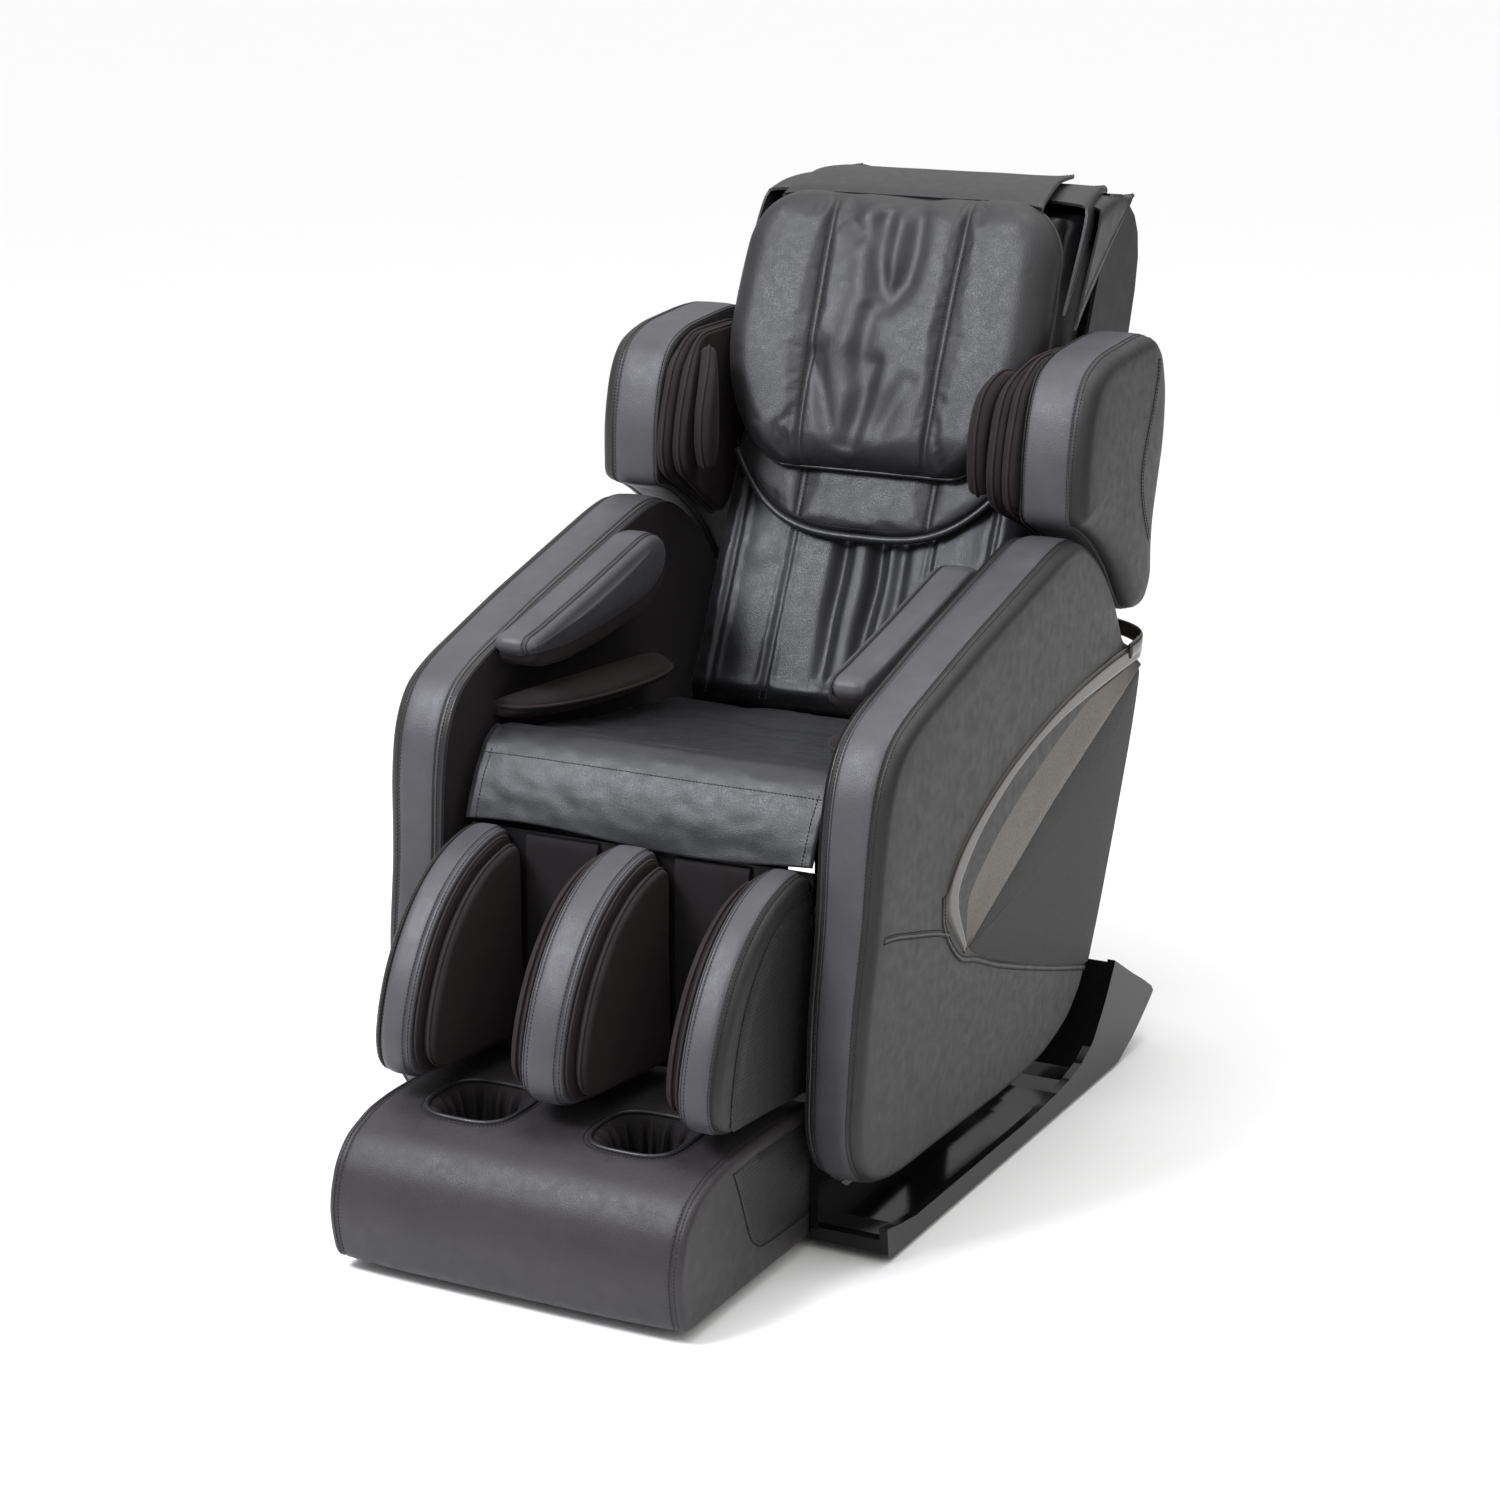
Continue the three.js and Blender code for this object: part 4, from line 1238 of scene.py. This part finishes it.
def make_upper_pad():
    """The padded bib under the head pillow, with a U-shaped bound edge."""
    half, top = 226, 868

    def low_edge(x):
        return 365 + 118 * (abs(x) / half) ** 3.2

    def face(s, t):
        x = (2 * s - 1) * half
        low = low_edge(x)
        out = Vector(leaned(0, -1, 0)) - Vector(leaned(0, 0, 0))
        return leaned(x, -63.5, low + (top - low) * t), out.normalized()

    def thick(s, t):
        x = (2 * s - 1) * half
        lift = 17 + 4 * math.sin(math.pi * min(t * 3, 1) / 2)
        for seam in (-105, 105):
            lift -= 6 * bell(x - seam, 4.5)
        lift += 1.6 * wrinkle((s, 0, t), 0.12, (1, 1, 1), 3.0)
        return lift * MM

    pad = puff_grid("upper_back_pad_cover", 0.45, 0.48, face, thick, DARK, 120, 110, edge=0.012)
    swell_cloth(pad, lambda co: back_pin(co, (-105, 105), 5), 2.5, 0.004, cap=0.003)
    attach(pad, "backrest", "leather", "upper_back_pad")
    xs = np.linspace(-half + 1, half - 1, 120)
    edge = [leaned(x, -76, low_edge(x) - 2) for x in xs]
    attach(tube("upper_pad_binding", edge, 0.0055, WELT), "backrest", "leather")
    rows = [[leaned(x, -83.5, low_edge(x) + 9) for x in xs]]
    for x in (-110, -100, 100, 110):
        rows.append([leaned(x, -82.5, u) for u in np.linspace(low_edge(x) + 14, 470, 24)])
    attach(stitches("upper_pad_stitches", rows), "backrest", "leather")


PILLOW_U = (455, 872)
PILLOW_HALF = 250


def pillow_half(u):
    """Half the pillow's width at a height: a rounded rectangle with its lower corners cut off more."""
    low, high = PILLOW_U
    t = (u - low) / (high - low)
    top = max((t - 0.78) / 0.22, 0)
    bottom = max((0.5 - t) / 0.5, 0)
    half = 1 - 0.36 * (1 - math.sqrt(max(1 - top**2, 0))) - 0.52 * (1 - math.sqrt(max(1 - bottom**2, 0)))
    return (246 + 8 * math.sin(math.pi * t)) * half


# Folds of the pillow's middle panel, from its gathered top and bottom:
# (x in millimetres, height from 0 to 1), width, depth.
PILLOW_FOLDS = (
    ([(-22, 0.88), (-19, 0.74), (-7, 0.63), (10, 0.59), (29, 0.66), (34, 0.77), (29, 0.92)], 11, 11),
    ([(-19, 0.54), (-22, 0.40), (-14, 0.26), (-24, 0.08)], 10, 10),
    ([(-92, 0.38), (-74, 0.26), (-46, 0.08)], 10, 9),
    ([(5, 0.36), (-3, 0.21), (-12, 0.05)], 9, 7),
    ([(-85, 0.95), (-76, 0.87), (-53, 0.82)], 10, 6),
    ([(60, 0.30), (30, 0.16), (12, 0.06)], 10, 5),
    ([(-44, 0.92), (-38, 0.77), (-30, 0.60), (-42, 0.44)], 13, -6),
    ([(12, 0.86), (10, 0.72)], 10, -4),
)


def to_path(x, z, path):
    """Distance in millimetres from a point to a polyline."""
    best = 1e9
    for (ax, az), (bx, bz) in zip(path, path[1:]):
        dx, dz = bx - ax, bz - az
        t = min(max(((x - ax) * dx + (z - az) * dz) / (dx * dx + dz * dz), 0), 1)
        best = min(best, math.hypot(x - ax - t * dx, z - az - t * dz))
    return best


def make_pillow():
    low, high = PILLOW_U
    height = high - low
    out = (Vector(leaned(0, -1, 0)) - Vector(leaned(0, 0, 0))).normalized()
    folds = [([(x, t * height) for x, t in path], width, depth) for path, width, depth in PILLOW_FOLDS]

    def point(s, t):
        u = low + height * t
        return (2 * s - 1) * pillow_half(u), u

    def face(s, t):
        x, u = point(s, t)
        return leaned(x, -92 - 18 * t, u), out

    def thick(s, t):
        x, u = point(s, t)
        lift = 40 + 9 * math.sin(math.pi * t) + 4 * bell(abs(x) - 175, 60)
        for seam in (-108 + 8 * (1 - t), 108 - 8 * (1 - t)):
            lift -= 7 * bell(x - seam, 5)
        for path, width, depth in folds:
            lift -= 0.8 * depth * bell(to_path(x, u - low, path), 1.7 * width)
        inside = bell(x, 80)
        lift += 3.0 * inside * wrinkle((x * 0.001, 0, u * 0.0006), 0.035, (1, 1, 1), 4.4)
        lift += 1.5 * wrinkle((s, 0, t), 0.2, (1, 1, 1), 1.0)
        return lift * MM

    pillow = puff_grid(
        "head_pillow_cover", 0.5, 0.417, face, thick, DARK, 150, 130, edge=0.05, back=lambda s, t: 0.006
    )
    swell_cloth(pillow, lambda co: back_pin(co, (-106, 106), 5) * 0.8, 2.5, 0.008, cap=0.004, stiffness=14)
    attach(pillow, "backrest", "leather", "head_pillow")
    loop = [(s, 0.0) for s in np.linspace(0, 1, 40)] + [(1.0, t) for t in np.linspace(0.01, 1, 70)]
    loop += [(s, 1.0) for s in np.linspace(1, 0, 40)[1:]] + [(0.0, t) for t in np.linspace(0.99, 0.01, 70)]
    shrink, lift = 0.99, 6
    edge = []
    for s, t in loop:
        p = Vector(face(0.5 + (s - 0.5) * shrink, 0.5 + (t - 0.5) * shrink)[0]) + out * lift * MM
        edge.append(p)
    attach(tube("head_pillow_piping_0", edge, 0.0026, WELT, closed=True), "backrest", "leather")
    rows = []
    for side, _ in SIDES:
        for gap in (-6, 6):
            row = []
            for t in np.linspace(0.06, 0.94, 70):
                x = side * (108 - 8 * (1 - t)) + gap
                s = 0.5 + x / (2 * pillow_half(low + height * t))
                height_here = thick(s, t) * min(1, 5 * t, 5 * (1 - t)) ** 0.4
                row.append(Vector(face(s, t)[0]) + out * (height_here + 0.0006))
            rows.append(row)
    attach(stitches("head_pillow_stitches", rows), "backrest", "leather")


POD_OUTLINE = [
    (180, 868), (214, 860), (266, 832), (322, 788), (362, 738), (392, 706), (430, 706), (460, 745), (456, 790),
    (459, 830), (495, 945), (498, 1020), (478, 1078), (446, 1101), (395, 1100), (280, 1090), (225, 1070),
    (197, 1025), (180, 955),
]
POD_SEAM = [(452, 1066), (446, 1040), (426, 996), (399, 943), (389, 898), (404, 850), (430, 806)]
POD_STRIP = (291, 361)


def make_pod(side, word):
    slab = Slab(
        POD_OUTLINE, 286, 386, (340, 930), rim=3, corner0=5, corner1=20, dome0=0, dome1=3,
        seams=POD_STRIP, groove=1.6, count=240, cap_rings=16, radius=30,
    )
    pod = slab.build(f"shoulder_pod_cover_{word}", [SIDE, GREY], side)
    for poly in pod.data.polygons:
        x = abs(poly.center[0]) / MM
        poly.material_index = 1 if POD_STRIP[0] < x < POD_STRIP[1] and abs(poly.normal[0]) < 0.6 else 0
    attach(pod, "backrest", "leather_grey", f"shoulder_pod_{word}")
    rows = [slab.rim_path(x, side, 0.2) for x in (POD_STRIP[0] + 3, POD_STRIP[1] - 3.2, POD_STRIP[1] + 3.2)]
    attach(stitches(f"pod_stitches_{word}", [np.vstack([r, r[:1]]) for r in rows]), "backrest", "leather")
    path = resample(spline(POD_SEAM), 80)
    double_seam(f"pod_seam_{word}", [slab.on_end(y, z, 0.3, side) for y, z in path], 0.004, "backrest", side)


WING_OUTLINE = [
    (334, 794), (368, 832), (404, 920), (438, 1040), (400, 1086), (262, 1084), (205, 1050), (176, 980), (166, 925),
    (174, 886), (214, 866), (268, 838),
]
WING_TIP = [(196, 890), (181, 926), (183, 984), (206, 1042), (242, 1072), (272, 1056), (250, 980), (212, 912)]


def fanned(inner_x, grow, shift):
    """A leaf that thickens and leans inwards towards its front edge."""
    def lean(x, y, z):
        f = min(max((276 - y) / 84, 0), 1)
        f = f * f * (3 - 2 * f)
        return inner_x - (inner_x - x) * (1 + grow * f) - shift * f

    return lean


def make_shoulder_bags(side, word):
    leaves = (
        ("back", WING_OUTLINE, 268, 284.6, fanned(284.6, 0.35, 0)),
        ("middle", shrunk(WING_OUTLINE, 3), 257.5, 267.5, fanned(267.5, 1.3, 7)),
        ("front", WING_TIP, 233, 256, fanned(256, 0.3, 24)),
    )
    for name, outline, x0, x1, lean in leaves:
        leaf = make_airbag_leaf(
            f"shoulder_leaf_{name}_{word}", outline, x0, x1, (250, 970), "backrest", side, lean=lean
        )
        if name == "back":
            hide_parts(f"shoulder_airbag_{word}")


def thin_sheet(name, point, material, nx=80, ny=60, thickness=0.004):
    """A sheet through point(s, t), s from -1 to 1 and t from 0 to 1, with its top surface and normals."""
    grid = np.array([[point(s, t) for s in np.linspace(-1, 1, nx + 1)] for t in np.linspace(0, 1, ny + 1)])
    du = np.gradient(grid, axis=1)
    dv = np.gradient(grid, axis=0)
    normal = np.cross(du, dv)
    normal /= np.linalg.norm(normal, axis=2)[:, :, None]
    top = grid + normal * thickness / 2
    under = grid - normal * thickness / 2
    verts = [tuple(p) for p in np.vstack([top.reshape(-1, 3), under.reshape(-1, 3)])]
    obj = face_out(mesh_object(name, verts, grid_faces(nx, ny), material))
    obj.data.set_sharp_from_angle(angle=math.radians(60))
    return obj, top, normal


def sheet_size(grid):
    """Width and length of a sheet laid flat, from its longest row and column, and its area, in metres."""
    width = np.linalg.norm(np.diff(grid, axis=1), axis=2).sum(1).max()
    length = np.linalg.norm(np.diff(grid, axis=0), axis=2).sum(0).max()
    sides = np.cross(np.diff(grid, axis=1)[:-1], np.diff(grid, axis=0)[:, :-1])
    return width, length, np.linalg.norm(sides, axis=2).sum()


def make_top_flaps():
    """Three leather flaps over the top of the backrest, each under the one before."""

    def flap(path, half, side_x, curl, drape):
        line = resample(spline(path), 80)

        def point(s, t):
            w = np.interp(t * 79, range(80), line[:, 0])
            u = np.interp(t * 79, range(80), line[:, 1])
            wide = half + (side_x - half) * (1 - t) ** 0.7
            along = min(abs(s) / 0.72, 1)
            down = max((abs(s) - 0.72) / 0.28, 0) * (drape * (1 - t) ** 1.1 + 9)
            bend = 1 - math.exp(-down / 16)
            x = math.copysign(wide * along + 7 * bend, s)
            u += curl * t**6 * along**5 - (down - 9 * bend) * (1 - t**5) - 6 * along**6 * (1 - t)
            w -= 0.12 * down
            u += 1.3 * wrinkle((s * 0.3, t * 0.2, 0), 0.11, (1, 1, 1), half * 0.01)
            return leaned(x, w, u)

        return point

    shapes = (
        ("a", [(-122, 868), (-106, 888), (-58, 926), (-2, 950), (46, 962)], 172, 205, 7, 0, "stretched"),
        ("b", [(-80, 888), (-44, 916), (8, 942), (66, 955)], 216, 255, 7, 170, "draped"),
        ("c", [(-48, 896), (-26, 912), (22, 936), (90, 950)], 254, 264, 10, 190, "draped"),
    )
    for name, path, half, side_x, curl, drape, held in shapes:
        obj, top, normal = thin_sheet(f"top_flap_{name}", flap(path, half, side_x, curl, drape), DARK)
        attach(obj, "backrest", "leather")
        width, length, area = sheet_size(top)
        lifted = top + normal * 0.0003
        rows = [lifted[:, 2], lifted[:, -3], lifted[-3, 2:-2]]
        attach(stitches(f"top_flap_stitches_{name}", rows), "backrest", "leather")


def build_all():
    for side, word in SIDES:
        make_arm(side, word)
        make_forearm(side, word)
    make_leg_rest()
    make_seat()
    make_back_cushion()
    make_upper_pad()
    make_pillow()
    make_top_flaps()
    for side, word in SIDES:
        make_pod(side, word)
        make_shoulder_bags(side, word)


build_all()


# ---------------------------------------------------------------- floor and light
FLOOR = 60


def make_stage():
    corners = [(-FLOOR, -FLOOR, 0), (FLOOR, -FLOOR, 0), (FLOOR, FLOOR, 0), (-FLOOR, FLOOR, 0)]
    floor = mesh_object("floor", corners, [(0, 1, 2, 3)], [])
    paper = Shader("paper", (0.9, 0.9, 0.9), 0.9, specular=0.1)
    paper.color_between(paper.noise(3, 2), (0.895, 0.895, 0.895), (0.905, 0.905, 0.905))
    floor.data.materials.append(paper.material)


def area_light(name, size, power, place, target, color=(1, 1, 1)):
    light = bpy.data.lights.new(name, "AREA")
    light.shape = "RECTANGLE"
    light.size, light.size_y = size
    light.energy = power
    light.color = color
    obj = bpy.data.objects.new(name, light)
    obj.location = place
    obj.rotation_euler = (Vector(target) - Vector(place)).to_track_quat("-Z", "Y").to_euler()
    bpy.context.scene.collection.objects.link(obj)


def make_light():
    world = bpy.data.worlds.new("studio")
    bpy.context.scene.world = world
    world.use_nodes = True
    background = world.node_tree.nodes["Background"]
    background.inputs["Color"].default_value = (1, 1, 1, 1)
    tree = world.node_tree
    direction = tree.nodes.new("ShaderNodeTexCoord")
    split = tree.nodes.new("ShaderNodeSeparateXYZ")
    tree.links.new(direction.outputs["Generated"], split.inputs[0])
    glow = tree.nodes.new("ShaderNodeMapRange")
    for socket, value in (("From Min", 0.05), ("From Max", 0.75), ("To Min", 0.03), ("To Max", 1.36)):
        glow.inputs[socket].default_value = value
    tree.links.new(split.outputs["Z"], glow.inputs["Value"])
    tree.links.new(glow.outputs["Result"], background.inputs["Strength"])
    area_light("key", (1.5, 1.1), 165, (-1.3, -2.2, 3.0), (0, -0.1, 0.6), (0.92, 0.94, 1))
    area_light("top", (1.6, 1.6), 30, (0.2, 0.2, 3.2), (0, 0, 0.6))
    area_light("rim", (0.35, 2.0), 6, (2.6, -1.9, 1.7), (0.2, -0.1, 0.6), (1, 0.93, 0.82))


make_stage()
make_light()
bpy.context.scene.view_settings.view_transform = "Standard"

bpy.context.view_layer.update()
